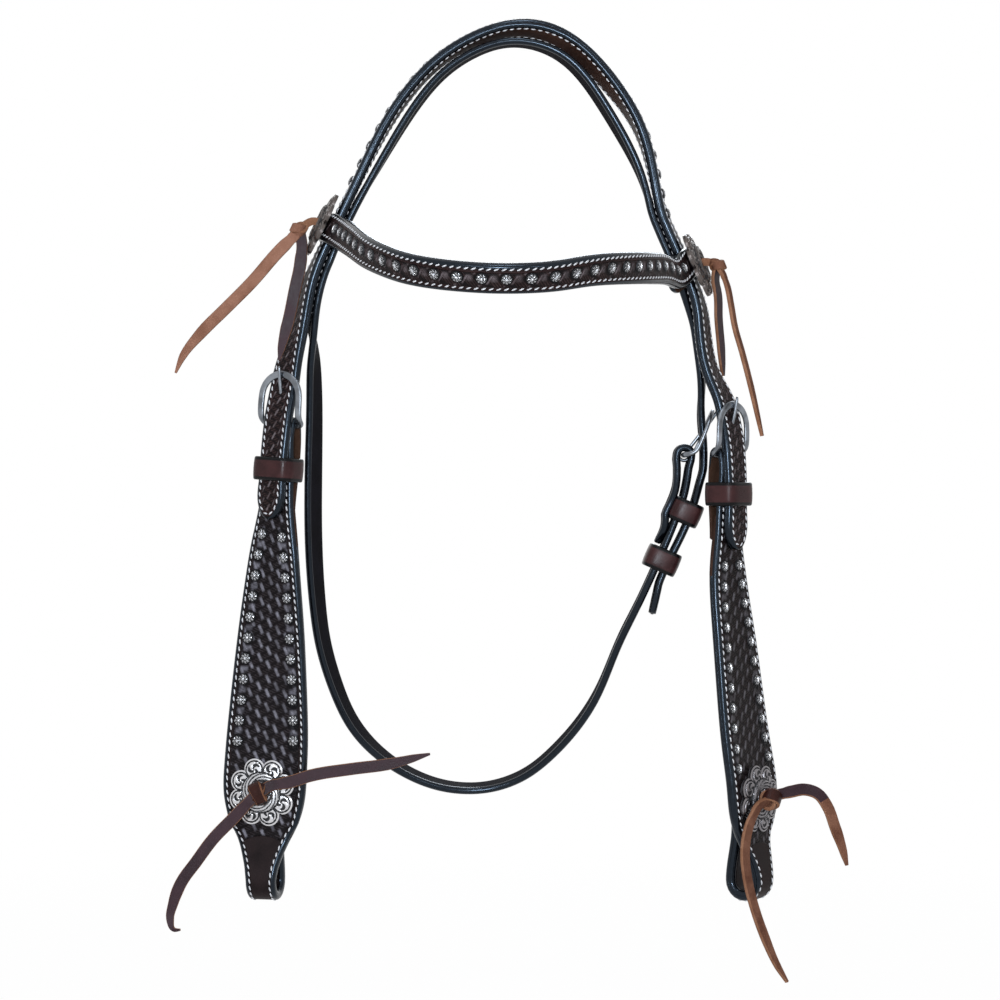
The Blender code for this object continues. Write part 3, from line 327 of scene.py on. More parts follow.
stringSize = {"width": 0.0065, "thickness": 0.0018, "steps": 5}
stringShares = ((0.0, 0.75), (0.08, 1.0), (0.72, 0.95), (0.90, 0.6), (1.0, 0.18))
strings = {
    "left_brow_string_long": {"turn": 0, "shows": "flesh", "points": (
        (-0.1132, -0.003, -0.0986), (-0.1219, -0.005, -0.1075), (-0.1353, -0.007, -0.1232),
        (-0.1486, -0.008, -0.1367), (-0.1615, -0.009, -0.1497), (-0.1708, -0.0095, -0.1616),
        (-0.1746, -0.01, -0.1704))},
    "left_brow_string_short": {"turn": 0, "shows": "grain", "points": (
        (-0.1096, -0.003, -0.1053), (-0.1106, -0.0035, -0.1147), (-0.1132, -0.0035, -0.1266),
        (-0.1163, -0.0038, -0.1417), (-0.1199, -0.0044, -0.1557), (-0.1214, -0.0048, -0.1635))},
    "right_brow_string_long": {"turn": 70, "shows": "suede", "points": (
        (0.109, -0.003, -0.1188), (0.1112, -0.004, -0.1251), (0.113, -0.005, -0.1345),
        (0.115, -0.006, -0.1464), (0.1186, -0.007, -0.1594), (0.1231, -0.008, -0.1771),
        (0.1288, -0.009, -0.203))},
    "right_brow_string_short": {"turn": 55, "shows": "grain", "points": (
        (0.1053, 0.001, -0.1227), (0.1068, 0.004, -0.1298), (0.1073, 0.007, -0.1411),
        (0.1087, 0.0095, -0.1556), (0.1099, 0.011, -0.1712))},
    "left_cheek_string_inner": {"turn": 0, "shows": "grain", "points": (
        (-0.1241, -0.012, -0.3833), (-0.1152, -0.0125, -0.3817), (-0.1054, -0.013, -0.3786),
        (-0.0837, -0.013, -0.375), (-0.0651, -0.013, -0.3726), (-0.0429, -0.013, -0.3672))},
    "left_cheek_string_outer": {"turn": 0, "shows": "grain", "points": (
        (-0.1359, -0.0129, -0.3913), (-0.1452, -0.012, -0.4011), (-0.1551, -0.0115, -0.4113),
        (-0.1639, -0.011, -0.4232), (-0.1717, -0.0105, -0.4341), (-0.1759, -0.01, -0.445),
        (-0.1774, -0.01, -0.4528), (-0.1755, -0.011, -0.4581), (-0.1721, -0.012, -0.4582))},
    "right_cheek_string_outer": {"turn": 25, "shows": "grain", "behind": "suede", "folds": 0.5, "points": (
        (0.1379, -0.0043, -0.3889), (0.1445, -0.006, -0.3872), (0.1506, -0.008, -0.386),
        (0.1576, -0.01, -0.3881), (0.1622, -0.0115, -0.3942), (0.1662, -0.0125, -0.405),
        (0.17, -0.0135, -0.4162), (0.1722, -0.014, -0.4247))},
    "right_cheek_string_inner": {"turn": 48, "shows": "suede", "points": (
        (0.1256, -0.0155, -0.3953), (0.1225, -0.0165, -0.4015), (0.1201, -0.018, -0.4096),
        (0.1193, -0.019, -0.4188), (0.1208, -0.0185, -0.4322), (0.1246, -0.016, -0.4469),
        (0.1305, -0.013, -0.4632), (0.1359, -0.01, -0.4755), (0.1419, -0.007, -0.4858))},
}
# a lace's section, as shares of half its width and half its thickness, and the face after each point
laceSection = ((0.90, 1.0, "front"), (-0.90, 1.0, "edge"), (-1.0, 0.45, "edge"), (-1.0, -0.45, "edge"),
               (-0.90, -1.0, "back"), (0.90, -1.0, "edge"), (1.0, -0.45, "edge"), (1.0, 0.45, "edge"))


def curved(a, b, leave, arrive, u):
    # the place at the share u of a smooth curve from a to b, from how fast it leaves a and arrives at b
    ease = 3 * u**2 - 2 * u**3
    return a * (1 - ease) + b * ease + leave * (u**3 - 2 * u**2 + u) + arrive * (u**3 - u**2)


def easedRoute(points, steps):
    # a smooth chain of points through the given ones
    places = [Vector(p) for p in points]
    ways = []
    for i, place in enumerate(places):
        before = place - places[i - 1] if i else places[1] - place
        after = places[i + 1] - place if i + 1 < len(places) else before
        ways.append((before / before.length_squared + after / after.length_squared).normalized())
    line = []
    for i in range(len(places) - 1):
        a, b = places[i], places[i + 1]
        chord = (b - a).length
        line += [curved(a, b, ways[i] * chord, ways[i + 1] * chord, j / steps) for j in range(steps)]
    return line + [places[-1]]


def gapsOf(points):
    return np.linalg.norm(np.diff(np.array(points), axis=0), axis=1)


def unitRows(rows):
    return rows / np.linalg.norm(rows, axis=1)[:, None]


def runsOf(points):
    return np.concatenate(([0.0], np.cumsum(gapsOf(points))))


def turnedWays(heading, turn):
    # the width and face directions of a lace that runs along heading
    front = Vector((0.0, -1.0, 0.0))
    front = (front - heading * front.dot(heading)).normalized()
    side = front.cross(heading)
    angle = math.radians(turn)
    width = front * math.sin(angle) - side * math.cos(angle)
    return width, front * math.cos(angle) + side * math.sin(angle)


def lacePiece(line, ways, wides, thickness, section=laceSection, closed=False):
    # a lace swept along a line; its ends close in on its middle
    rows = []
    for place, (width, face), wide in zip(line, ways, wides):
        row = [place + width * (x * wide / 2) + face * (y * thickness / 2) for x, y, _ in section]
        rows.append([tuple(p) for p in row + row[:1]])
    if not closed:
        rows = [[tuple(line[0])] * len(rows[0])] + rows + [[tuple(line[-1])] * len(rows[0])]
    return gridPiece(rows)


def paintLace(piece, shows, folds=1.0, behind=None):
    # slots: the side that shows, the side behind and the cut edges; past folds the sides change places
    behind = behind or ("grain" if shows in ("flesh", "suede") else "flesh")
    for key in (shows, behind, "edge"):
        piece.data.materials.append(latigo[key])
    slots = [("front", "back", "edge").index(tag) for _, _, tag in laceSection]
    index = np.resize(np.array(slots, dtype=np.int32), len(piece.data.polygons))
    turned = index[int(folds * len(index)):]
    turned[:] = np.where(turned < 2, 1 - turned, 2)
    piece.data.polygons.foreach_set("material_index", index)


def headings(line):
    # the way a line runs at each of its points
    last = len(line) - 1
    return [(line[min(i + 1, last)] - line[max(i - 1, 0)]).normalized() for i in range(len(line))]


def makeString(name, look):
    line = easedRoute(look["points"], stringSize["steps"])
    runs = runsOf(line)
    ways = [turnedWays(heading, look["turn"]) for heading in headings(line)]
    wides = stringSize["width"] * np.interp(runs / runs[-1], *zip(*stringShares))
    piece = lacePiece(line, ways, wides.tolist(), stringSize["thickness"])
    paintLace(piece, look["shows"], look.get("folds", 1.0), look.get("behind"))
    joinSeam(piece)
    smooth(piece, 40)
    settle(piece, name + "_lace", "headstall", (name,))


for stringName, stringLook in strings.items():
    makeString(stringName, stringLook)
print("latigo strings hung")


# Strap leather

strapLook = {
    "brown": ((0.0075, 0.0048, 0.0052, 1), (0.021, 0.0132, 0.0135, 1)),
    # the dark colour of stamped gaps and grooves: partly pressed leather, partly painted shade
    "pressedAndShade": (0.0040, 0.003, 0.0036, 1),
    # the pale colour of raised strands and spot marks: partly wear, partly a painted highlight
    "risenWearAndSheen": (0.210, 0.198, 0.228, 1),
    "bar": (0.040, 0.033, 0.037, 1),
    "dye": (0.0018, 0.0018, 0.0026, 1),
    "dyeWidth": 0.0018,
    "stampPitch": 0.0073,
    "stampColumn": 0.0049,
    "stampTurn": 27.0,
    "strandHalf": 0.0013,
    "strandReach": 0.0031,
    "barTurn": -22.0,
    "barPitch": 0.0013,
    "border": 0.0042,
    "seam": 0.0026,
    "arch": -25.0,
    "lean": 1.0,
    "spotShift": -0.0010,
}
narrowLook = dict(strapLook, stampPitch=0.0062, stampColumn=0.0038, strandHalf=0.0008,
                  strandReach=0.0025, brown=((0.013, 0.0062, 0.0065, 1), (0.036, 0.0175, 0.0165, 1)),
                  risenWearAndSheen=(0.150, 0.120, 0.125, 1), bar=(0.050, 0.030, 0.028, 1), arch=0.0)
# a darker copy of the cheek leather for the right cheek, which faces away from the light: painted shade, with
# dimmer painted highlights on its strands
shadedRightLook = dict(strapLook, brown=((0.0065, 0.0032, 0.0032, 1), (0.0180, 0.0090, 0.0085, 1)),
                 risenWearAndSheen=(0.120, 0.108, 0.118, 1), bar=(0.022, 0.015, 0.015, 1))
browLook = dict(narrowLook, stampTurn=58.0, barTurn=35.0, stampPitch=0.0123, stampColumn=0.0052,
                strandReach=0.0034, lean=-1.0)


def basketTooling(shade, across, along, look):
    # woven stamps: slanted raised strands on a lattice, with fine crossing bars between them
    stepAlong, stepAcross = look["stampPitch"], look["stampColumn"]
    column = across / stepAcross
    row = along / stepAlong - column * 0.5
    nearRow = row - (row + 0.5).floor()
    nearColumn = column - (column + 0.5).floor()
    right = nearColumn * stepAcross
    down = (nearRow + nearColumn * 0.5) * stepAlong
    turn = math.radians(look["stampTurn"])
    cosine, sine = math.cos(turn), math.sin(turn)
    reach = (down * cosine + right * sine).size()
    aside = (right * cosine - down * sine).size()
    strand = 1 - aside.between(0.0003, look["strandHalf"])
    strand = strand * (1 - reach.between(0.0015, look["strandReach"]))
    barAngle = math.radians(look["barTurn"])
    bars = (along * math.cos(barAngle) + across * math.sin(barAngle)) * (2 * math.pi / look["barPitch"])
    ridges = bars.sine() * 0.5 + 0.5
    cut = (along * cosine + across * sine) * (2 * math.pi / (stepAlong * 0.5))
    broken = (cut.sine() * 0.5 + 0.5).between(0.1, 0.5)
    return strand, (ridges * broken) * (1 - aside.between(0.0, 0.001) * 0.2) * (1 - strand)


def spotMarks(across, along, edge, spots, look):
    # the paler marks between a row's spots, partly wear and partly a painted highlight, and a dark ring round
    # each spot, painted shade at its foot
    start, pitch, count, inset = spots
    between = (along - start) / pitch
    between = (between - between.floor() - 0.5).size()
    aside = (edge - inset).size() if inset else (across - look["spotShift"]).size()
    marks = (1 - between.between(0.03, 0.20)) * (1 - aside.between(0.0010, 0.0026))
    marks = marks * (along > start) * (along < start + pitch * count)
    gap = (0.5 - between) * pitch
    ring = 1 - (gap * gap + aside * aside).between(0.0029**2, 0.0038**2)
    return marks, ring * (along > start - pitch / 2) * (along < start + pitch * (count + 0.5))


def tooledFinish(name, tooledFrom, tooledTo, look, spots=None):
    def surface(shade, place):
        across, along, _ = shade.map("strap")
        half, ends, _ = shade.map("size")
        edge = (half - across.size()).least(ends)
        arched = along + (across * across) * look["arch"]
        field = arched.between(tooledFrom, tooledFrom + 0.0004)
        field = field * (1 - arched.between(tooledTo, tooledTo + 0.0004))
        tooled = edge.between(look["border"] - 0.0004, look["border"] + 0.0004) * field
        strand, bars = basketTooling(shade, across * look["lean"], along, look)
        seam = edge.near(look["seam"], 0.0003, 0.0010)
        rim = edge.near(look["border"], 0.0, 0.0005) * field
        rim = rim.most(arched.near(tooledTo, 0.0001, 0.0006) * edge.between(look["seam"], look["border"]))
        patches = shade.patches(place, 85.0, 4.0, (0.32, 0.68))
        grain = shade.grain(place)
        wearAndSheenPatches = shade.patches(place, 210.0, 3.0, (0.35, 0.65)).remapped(0.35, 1.0)
        colour = (patches * 0.65 + grain * 0.35).blend(*look["brown"])
        # the stamped gaps painted dark: partly pressed leather, partly painted shade in the recesses
        colour = ((1 - strand) * (1 - bars * 0.8) * tooled * 0.9).blend(colour, look["pressedAndShade"])
        colour = (bars * tooled * wearAndSheenPatches * 0.8).blend(colour, look["bar"])
        # raised strands painted pale: partly wear, partly a painted highlight
        colour = (strand * tooled * wearAndSheenPatches).blend(colour, look["risenWearAndSheen"])
        height = (strand * 0.75 + bars * 0.35 - 0.35) * tooled + grain * 0.05 - seam * 0.35 - rim * 0.35
        if spots:
            marks, ring = spotMarks(across, along, edge, spots, look)
            marks = marks * wearAndSheenPatches
            # a dark ring round each spot, in the edges' dye colour: painted shade where the spot sits on the
            # leather
            colour = (ring * 0.85).blend(colour, look["dye"])
            # the marks between spots take the same pale colour, partly a painted highlight
            colour = (marks * 0.75).blend(colour, look["risenWearAndSheen"])
            height = height + marks * 0.4
        # stitch grooves and border lines darkened: partly pressed leather, partly painted shade
        colour = (seam * 0.45 + rim * 0.5).least(1.0).blend(colour, look["pressedAndShade"])
        dyed = 1 - edge.between(look["dyeWidth"] - 0.0004, look["dyeWidth"] + 0.0003)
        gloss = 0.44 - (1 - edge.between(0.0008, 0.002)) * 0.16 + patches * 0.06 - strand * tooled * 0.10
        return {"Base Color": dyed.blend(colour, look["dye"]), "Roughness": gloss,
                "Normal": height.bump(0.0008)}

    return finish(name, surface, {"Specular IOR Level": 0.075})


def plainFinish(name, tones, roughness, shine, depth, patchScale=90.0, tint=(1, 1, 1, 1)):
    def surface(shade, place):
        patches = shade.patches(place, patchScale)
        grain = shade.grain(place)
        return {
            "Base Color": (patches * 0.65 + grain * 0.35).blend(*tones),
            "Roughness": patches.remapped(roughness - 0.05, roughness + 0.07),
            "Normal": (grain * 0.5 + shade.noise(place, 260.0)).bump(depth, 0.8),
        }

    return finish(name, surface, {"Specular IOR Level": shine, "Specular Tint": tint})


def stitchedFinish(name, tones, roughness):
    # smooth lining leather: dyed edges and a darker line under each row of stitches, partly pressed leather
    # and partly painted shade in the groove
    look = strapLook

    def surface(shade, place):
        across, _, _ = shade.map("strap")
        half, ends, _ = shade.map("size")
        edge = (half - across.size()).least(ends)
        seam = edge.near(look["seam"], 0.0002, 0.0009)
        patches = shade.patches(place, 70.0)
        grain = shade.grain(place, 1100.0)
        brown = (patches * 0.6 + grain * 0.4).blend(*tones)
        lined = (seam * 0.5).blend(brown, look["pressedAndShade"])
        dyed = (1 - edge.between(0.0006, 0.0018)).blend(lined, look["dye"])
        gloss = patches.remapped(roughness - 0.05, roughness + 0.08)
        gloss = gloss - (1 - edge.between(0.0008, 0.002)) * 0.2
        height = grain * 0.2 - seam * 0.5
        return {"Base Color": dyed, "Roughness": gloss, "Normal": height.bump(0.0004, 0.9)}

    return finish(name, surface, {"Specular IOR Level": 0.06})


edgeFinish = plainFinish(
    "burnished edge", ((0.0012, 0.0012, 0.0018, 1), (0.0040, 0.0044, 0.0062, 1)), 0.20, 0.33, 0.000022, 420.0,
    (0.62, 0.79, 1.0, 1))
rawEdgeFinish = plainFinish(
    "raw cut edge", ((0.020, 0.010, 0.007, 1), (0.080, 0.042, 0.030, 1)), 0.75, 0.05, 0.0002)
fleshFinish = plainFinish(
    "flesh side", ((0.040, 0.019, 0.012, 1), (0.095, 0.050, 0.032, 1)), 0.8, 0.05, 0.0002)
throatFinish = plainFinish(
    "throatlatch leather", ((0.0046, 0.0042, 0.0054, 1), (0.0140, 0.0130, 0.0164, 1)), 0.80, 0.03, 0.00006)
liningFinish = stitchedFinish(
    "strap lining leather", ((0.030, 0.014, 0.010, 1), (0.085, 0.042, 0.030, 1)), 0.46)
loopFinish = stitchedFinish(
    "cheek lining leather", ((0.0055, 0.0040, 0.0045, 1), (0.017, 0.0110, 0.0110, 1)), 0.42)
threadFinish = plainFinish(
    "white thread", ((0.50, 0.48, 0.49, 1), (0.86, 0.85, 0.86, 1)), 0.6, 0.1, 0.0001, 900.0)
print("leathers mixed")


# Straps: each is drawn anew round its CAD node's own run of rings, with rounded edges

strapShape = {
    "longStep": 0.0036,  # longer steps between a CAD strap's rings are eased
    "step": 0.0022,
    "ironFrom": -0.085,  # the height above which its short flats are smoothed out
    "ironFade": 0.03,
    "ironPasses": 60,
    "blunt": 0.0007,
    "arc": 5,
    "tipShares": (0.04, 0.10, 0.18, 0.28, 0.40, 0.54, 0.70, 0.88),
}


class Strap:
    # a CAD strap's run of rings: the middle, width and face directions of the face that shows

    def __init__(self, node, thickness, facing, tip):
        self.tip = tip
        self.thick = thickness
        piece = bpy.data.objects.new(node + "_copy", bpy.data.objects[node].data.copy())
        scene.collection.objects.link(piece)
        joinSeam(piece, outwards=False)
        bm = bmesh.new()
        bm.from_mesh(piece.data)
        bm.normal_update()
        loop = self.walk(bm)
        count = len(loop) // 2
        middles = [(a.co + b.co) / 2 for a, b in loop]
        spans = []
        for k in range(count):
            pairs = ((middles[(k + j) % len(loop)], middles[k - 1 - j]) for j in range(count))
            spans.append(sum((one - other).length for one, other in pairs))
        first = spans.index(min(spans))
        rings = []
        for j in range(count):
            (a, d), (b, c) = loop[(first + j) % len(loop)], loop[first - 1 - j]
            rings.append((a, b, c, d))  # the face's two corners, then the two behind
        out = sum((a.co - d.co).dot((a.co + b.co + c.co + d.co) / 4 - headMiddle) for a, b, c, d in rings)
        if out * facing < 0:
            rings = [(d, c, b, a) for a, b, c, d in rings]
        if (rings[0][0].co - rings[-1][0].co).dot(Vector((-0.3, 0.0, 1.0))) < 0:
            rings.reverse()
        a, b, _, d = rings[count // 2]
        ahead = rings[count // 2 + 1][0].co - a.co
        if (a.co - b.co).cross(ahead).dot(a.co - d.co) < 0:
            rings = [(b, a, d, c) for a, b, c, d in rings]
        corners = self.ironed(self.eased(np.array([[list(v.co) for v in ring] for ring in rings])))
        bm.free()
        bpy.data.objects.remove(piece, do_unlink=True)
        self.middle = corners[:, :2].mean(axis=1)
        self.width = corners[:, 0] - corners[:, 1]
        self.wide = np.linalg.norm(self.width, axis=1)
        self.width /= self.wide[:, None]
        face = unitRows(corners[:, 0] - corners[:, 3])
        self.face = unitRows(face - self.width * np.einsum("ij,ij->i", face, self.width)[:, None])
        self.run = runsOf(self.middle)
        self.long = float(self.run[-1])

    def relaxed(self, rings, share, passes):
        # rings drawn towards their neighbours' middles, then let out again by what that shrank
        def drawn(rows):
            for _ in range(passes):
                pull = np.zeros_like(rows)
                pull[1:-1] = (rows[:-2] + rows[2:]) / 2 - rows[1:-1]
                rows = rows + pull * share[:, None, None]
            return rows

        once = drawn(rings)
        return once + drawn(rings - once)

    def eased(self, rings):
        # long steps are eased, then all run on one smooth curve, so that no corner shows between them
        gaps = gapsOf(rings.mean(axis=1))
        share = np.zeros(len(rings))
        share[1:-1] = np.where(np.minimum(gaps[:-1], gaps[1:]) > strapShape["longStep"], 0.4, 0.0)
        rings = self.relaxed(rings, share, 4)
        gaps = gapsOf(rings.mean(axis=1))
        slopes = np.diff(rings, axis=0) / gaps[:, None, None]
        ways = [slopes[0]]
        for before, after, slopeIn, slopeOut in zip(gaps, gaps[1:], slopes, slopes[1:]):
            ways.append((slopeIn * after + slopeOut * before) / (before + after))
        ways.append(slopes[-1])
        dense = []
        for i, gap in enumerate(gaps):
            count = max(1, round(gap / strapShape["step"]))
            for u in np.arange(count) / count:
                dense.append(curved(rings[i], rings[i + 1], ways[i] * gap, ways[i + 1] * gap, u))
        return np.array(dense + [rings[-1]])

    def ironed(self, rings):
        # the short flats over the poll are smoothed out
        high = (rings.mean(axis=1)[:, 2] - strapShape["ironFrom"]) / strapShape["ironFade"]
        share = np.clip(high, 0.0, 0.5)
        share[[0, -1]] = 0.0
        return self.relaxed(rings, share, strapShape["ironPasses"])

    def walk(self, bm):
        # the edges that cross the strap's narrow sides, in order all round it, each with the same end first
        rungs = {edge for edge in bm.edges if abs(edge.calc_length() - self.thick) < 2e-6}

        def step(rung, face):
            for edge in face.edges:
                for other in edge.link_faces:
                    if edge is rung or other is face or other.normal.dot(face.normal) < 0.7:
                        continue
                    for found in other.edges:
                        if found in rungs and found is not edge and not set(found.verts) & set(rung.verts):
                            return found, other
            return None, None

        best, used = [], set()
        for start in sorted(rungs, key=lambda edge: edge.index):
            if start in used:
                continue
            chain = []
            for side in (0, 1):
                rung, face = start, start.link_faces[side]
                part = []
                while rung and rung not in used:
                    used.add(rung)
                    part.append(rung)
                    rung, seen = step(rung, face)
                    if rung:
                        face = next(f for f in rung.link_faces if f is not seen)
                used.discard(start)
                chain = part if side == 0 else part[:0:-1] + chain
            used.add(start)
            if len(chain) > len(best):
                best = chain
        loop = [tuple(best[0].verts)]
        for rung in best[1:]:
            a, b = rung.verts
            before = loop[-1][0].co - loop[-1][1].co
            loop.append((a, b) if (a.co - b.co).dot(before) > 0 else (b, a))
        return loop

    def at(self, along, across=0.0, lift=0.0):
        # a place on the face that shows, with its run, width and face directions there
        i = int(np.clip(np.searchsorted(self.run, along) - 1, 0, len(self.run) - 2))
        u = (along - self.run[i]) / (self.run[i + 1] - self.run[i])
        mix = lambda rows: Vector(rows[i] * (1 - u) + rows[i + 1] * u)
        middle, width, face = mix(self.middle), mix(self.width).normalized(), mix(self.face).normalized()
        way = Vector(self.middle[i + 1] - self.middle[i]).normalized()
        return middle + width * across + face * lift, way, width, face

    def wideAt(self, along):
        fromEnd = min(along, self.long - along)
        if fromEnd >= self.tip:
            return float(np.interp(along, self.run, self.wide))
        full = float(np.interp(self.tip if along < self.tip else self.long - self.tip, self.run, self.wide))
        return max(full * math.sqrt(max(0.0, 1 - (1 - fromEnd / self.tip) ** 2)), 0.001)

    def seamAt(self, along, inset):
        # half the width between the seams, which follow the rounded tip
        fromEnd = min(along, self.long - along)
        if fromEnd >= self.tip:
            return max(self.wideAt(along) / 2 - inset, 0.0004)
        full = self.wideAt(self.tip) / 2
        back = max(0.0, fromEnd - inset) / (1 - inset / self.tip)
        back = back if along < self.tip else self.long - back
        return max(self.wideAt(back) / 2 * (1 - inset / full), 0.0004)

    def nearest(self, point, low=0.0, high=1.0):
        # how far along its middle comes closest to a point, between two shares of its length
        runs = np.linspace(self.long * low, self.long * high, 1200)
        line = np.array([np.interp(runs, self.run, self.middle[:, k]) for k in range(3)]).T
        return float(runs[np.argmin(np.linalg.norm(line - np.array(point), axis=1))])

    def section(self, half, inset, deep, front, behind):
        # a rounded outline, from the showing face's right corner round to its left one
        half, top, low = max(half - inset, 0.0002), -inset, -deep + inset
        front, behind = min(front, half * 0.95), min(behind, half * 0.95)
        arc = strapShape["arc"]
        outline = []
        for side, level, radius, turn in (
            (1, top - front, front, 90), (1, low + behind, behind, 0),
            (-1, low + behind, behind, -90), (-1, top - front, front, -180),
        ):
            for k in range(arc + 1):
                angle = math.radians(turn - 90 * k / arc)
                x = side * (half - radius) + radius * math.cos(angle)
                outline.append((x, level + radius * math.sin(angle)))
        return outline + outline[:1]

    def loft(self, materials, rounds, fill, rawEnd):
        # slots: the face that shows, the face behind, the burnished edges and the raw ones
        blunt, tip = strapShape["blunt"], self.tip
        inner = [float(run) for run in self.run if tip + blunt * 1.5 < run < self.long - tip - blunt * 1.5]
        if tip:
            ends = [blunt + (tip - blunt) * share for share in strapShape["tipShares"]]
            inner = ends + inner + [self.long - run for run in reversed(ends)]
        stations = [(0.0, blunt), (blunt, 0.0)] + [(run, 0.0) for run in inner]
        stations += [(self.long - blunt, 0.0), (self.long, blunt)]
        rows, places, sizes = [], [], []
        for run, inset in stations:
            middle, _, width, face = self.at(run)
            half = self.wideAt(run) / 2
            outline = self.section(half, inset, self.thick + fill, *rounds)
            rows.append([tuple(middle + width * x + face * y) for x, y in outline])
            places.append([(x, run) for x, _ in outline])
            sizes.append([(half, min(run, self.long - run))] * len(outline))
        for end, at in ((0, 0), (-1, len(rows))):
            centre = tuple(np.mean(np.array(rows[end][:-1]), axis=0))
            rows.insert(at, [centre] * len(rows[end]))
            places.insert(at, places[end])
            sizes.insert(at, sizes[end])
        piece = gridPiece(rows)
        gridUv(piece, "strap", places)
        gridUv(piece, "size", sizes)
        for material in materials:
            piece.data.materials.append(material)
        across = len(rows[0]) - 1
        slots = np.full((len(rows) - 1, across), 2, dtype=np.int32)
        slots[:, across - 1] = 0
        slots[:, 2 * (across // 4) - 1] = 1
        slots[(0, -1), :] = 2
        for k, (run, _) in enumerate(stations[:-1]):
            if run < rawEnd:
                raw = slots[k + 1]
                raw[raw == 2] = 3
        piece.data.polygons.foreach_set("material_index", slots.reshape(-1))
        joinSeam(piece)
        smooth(piece, 50)
        modify(piece, "WEIGHTED_NORMAL", keep_sharp=True, weight=70)
        return piece


# thickness, the side of the sheet that shows, slot, the radius of the edges, rounded tip and raw end
straps = {
    "crown_strap_outer": (0.0025, 1, "tooled_leather", 0.0021, 0.0135, 0.0),
    "crown_strap_lining": (0.0022, -1, "strap_lining", 0.0019, 0.0135, 0.0),
    "browband_outer": (0.0024, 1, "tooled_leather", 0.0020, 0.0, 0.0),
    "browband_lining": (0.0019, -1, "strap_lining", 0.0016, 0.0, 0.0),
    "left_cheek_outer": (0.0024, 1, "tooled_leather", 0.0020, 0.0, 0.036),
    "right_cheek_outer": (0.0024, 1, "tooled_leather", 0.0020, 0.0, 0.036),
    "left_cheek_lining": (0.0026, -1, "strap_lining", 0.0022, 0.0, 0.030),
    "right_cheek_lining": (0.0026, -1, "strap_lining", 0.0022, 0.0, 0.030),
    "throatlatch_strap": (0.0038, 1, "throatlatch_leather", 0.0018, 0.0, 0.0),
}
plyFill = 0.00016  # closes the gap between two sewn plies
pliedRound = 0.0002
runs = {name: Strap(name, look[0], look[1], look[4]) for name, look in straps.items()}
for name, strap in runs.items():
    print(name, len(strap.run), "rings,", round(strap.long * 1000, 1), "mm long")

crown, crownLining = runs["crown_strap_outer"], runs["crown_strap_lining"]
brow, browLining = runs["browband_outer"], runs["browband_lining"]
cheeks = {side: runs[side + "_cheek_outer"] for side in ("left", "right")}
cheekLinings = {side: runs[side + "_cheek_lining"] for side in ("left", "right")}

# where things lie along the straps
wrapLeft = brow.nearest((-0.0965, -0.0088, -0.094), 0.1, 0.5)
wrapRight = brow.nearest((0.092, -0.0088, -0.1125), 0.5, 0.9)
cheekBars = {
    "left": cheeks["left"].nearest((-0.121, -0.003, -0.205), 0.05, 0.5),
    "right": cheeks["right"].nearest((0.113, -0.003, -0.2205), 0.05, 0.5),
}

spotInset = 0.0069
browSpotSpan = (0.0968, 0.4120)
crownSpotSpans = ((0.1835, 0.2660, 9), (0.3820, 0.4445, 7))  # from, to and how many
spotSpans = {}
for side, x, rows in (
    ("left", -0.13, ((-0.2538, -0.3620), (-0.2548, -0.3602))),
    ("right", 0.12, ((-0.2702, -0.3745), (-0.2700, -0.3720))),
):
    spotSpans[side] = [[cheeks[side].nearest((x, -0.004, z), 0.2, 0.8) for z in row] for row in rows]

browSpots = (browSpotSpan[0], (browSpotSpan[1] - browSpotSpan[0]) / 26, 26, None)
tooled = {
    "crown_strap_outer": tooledFinish("tooled crown leather", 0.004, crown.long - 0.004, narrowLook),
    "browband_outer": tooledFinish("tooled browband leather", wrapLeft, wrapRight, browLook, browSpots),
}
for side, look, low in (("left", dict(strapLook, lean=-1.0), -0.4103), ("right", shadedRightLook, -0.4150)):
    cheek = cheeks[side]
    foot = cheek.nearest((cheek.middle[len(cheek.run) // 2][0], -0.004, low), 0.3, 0.9)
    first, last = spotSpans[side][0]
    spots = (first, (last - first) / 10, 10, spotInset)
    tooled[side + "_cheek_outer"] = tooledFinish(
        f"tooled {side} cheek leather", cheekBars[side] + 0.004, foot, look, spots)

for name, (_, _, slot, rounding, _, rawEnd) in straps.items():
    single = name == "throatlatch_strap"
    if single:
        shows, behind = throatFinish, throatFinish
    else:
        shows, behind = tooled.get(name, loopFinish if "cheek" in name else liningFinish), fleshFinish
    rounds = (rounding, rounding if single else pliedRound)
    leather = runs[name].loft((shows, behind, edgeFinish, rawEdgeFinish), rounds,
                              0.0 if single else plyFill, rawEnd)
    settle(leather, name + "_leather", "headstall", (name,))
print("straps rounded")


# Stitches: one thread modelled once, set along each row

stitchLook = {"length": 0.0029, "width": 0.00088, "dip": 0.30, "pitch": 0.0037, "lift": 0.00008,
              "inset": 0.0026}


def makeStitch(look):
    # a short fat thread whose ends dip into the leather
    deselectAll()
    bpy.ops.mesh.primitive_uv_sphere_add(segments=6, ring_count=5, radius=0.5,
                                         rotation=(0, math.radians(90), 0))
    stitch = bpy.context.object
    bpy.ops.object.transform_apply(location=False, rotation=True, scale=False)
    bpy.ops.object.mode_set(mode="EDIT")
    bpy.ops.mesh.select_all(action="SELECT")
    bpy.ops.transform.resize(value=(look["length"], look["width"], look["width"]))
    bpy.ops.object.mode_set(mode="OBJECT")
    for vertex in stitch.data.vertices:
        share = abs(vertex.co.x) / (look["length"] / 2)
        vertex.co.z -= look["width"] * look["dip"] * share**2
    return stitch


def takeMesh(piece):
    # a modelled piece's points and faces, so that it can be repeated
    points = np.array([list(vertex.co) for vertex in piece.data.vertices])
    faces = [list(polygon.vertices) for polygon in piece.data.polygons]
    bpy.data.objects.remove(piece, do_unlink=True)
    return points, faces


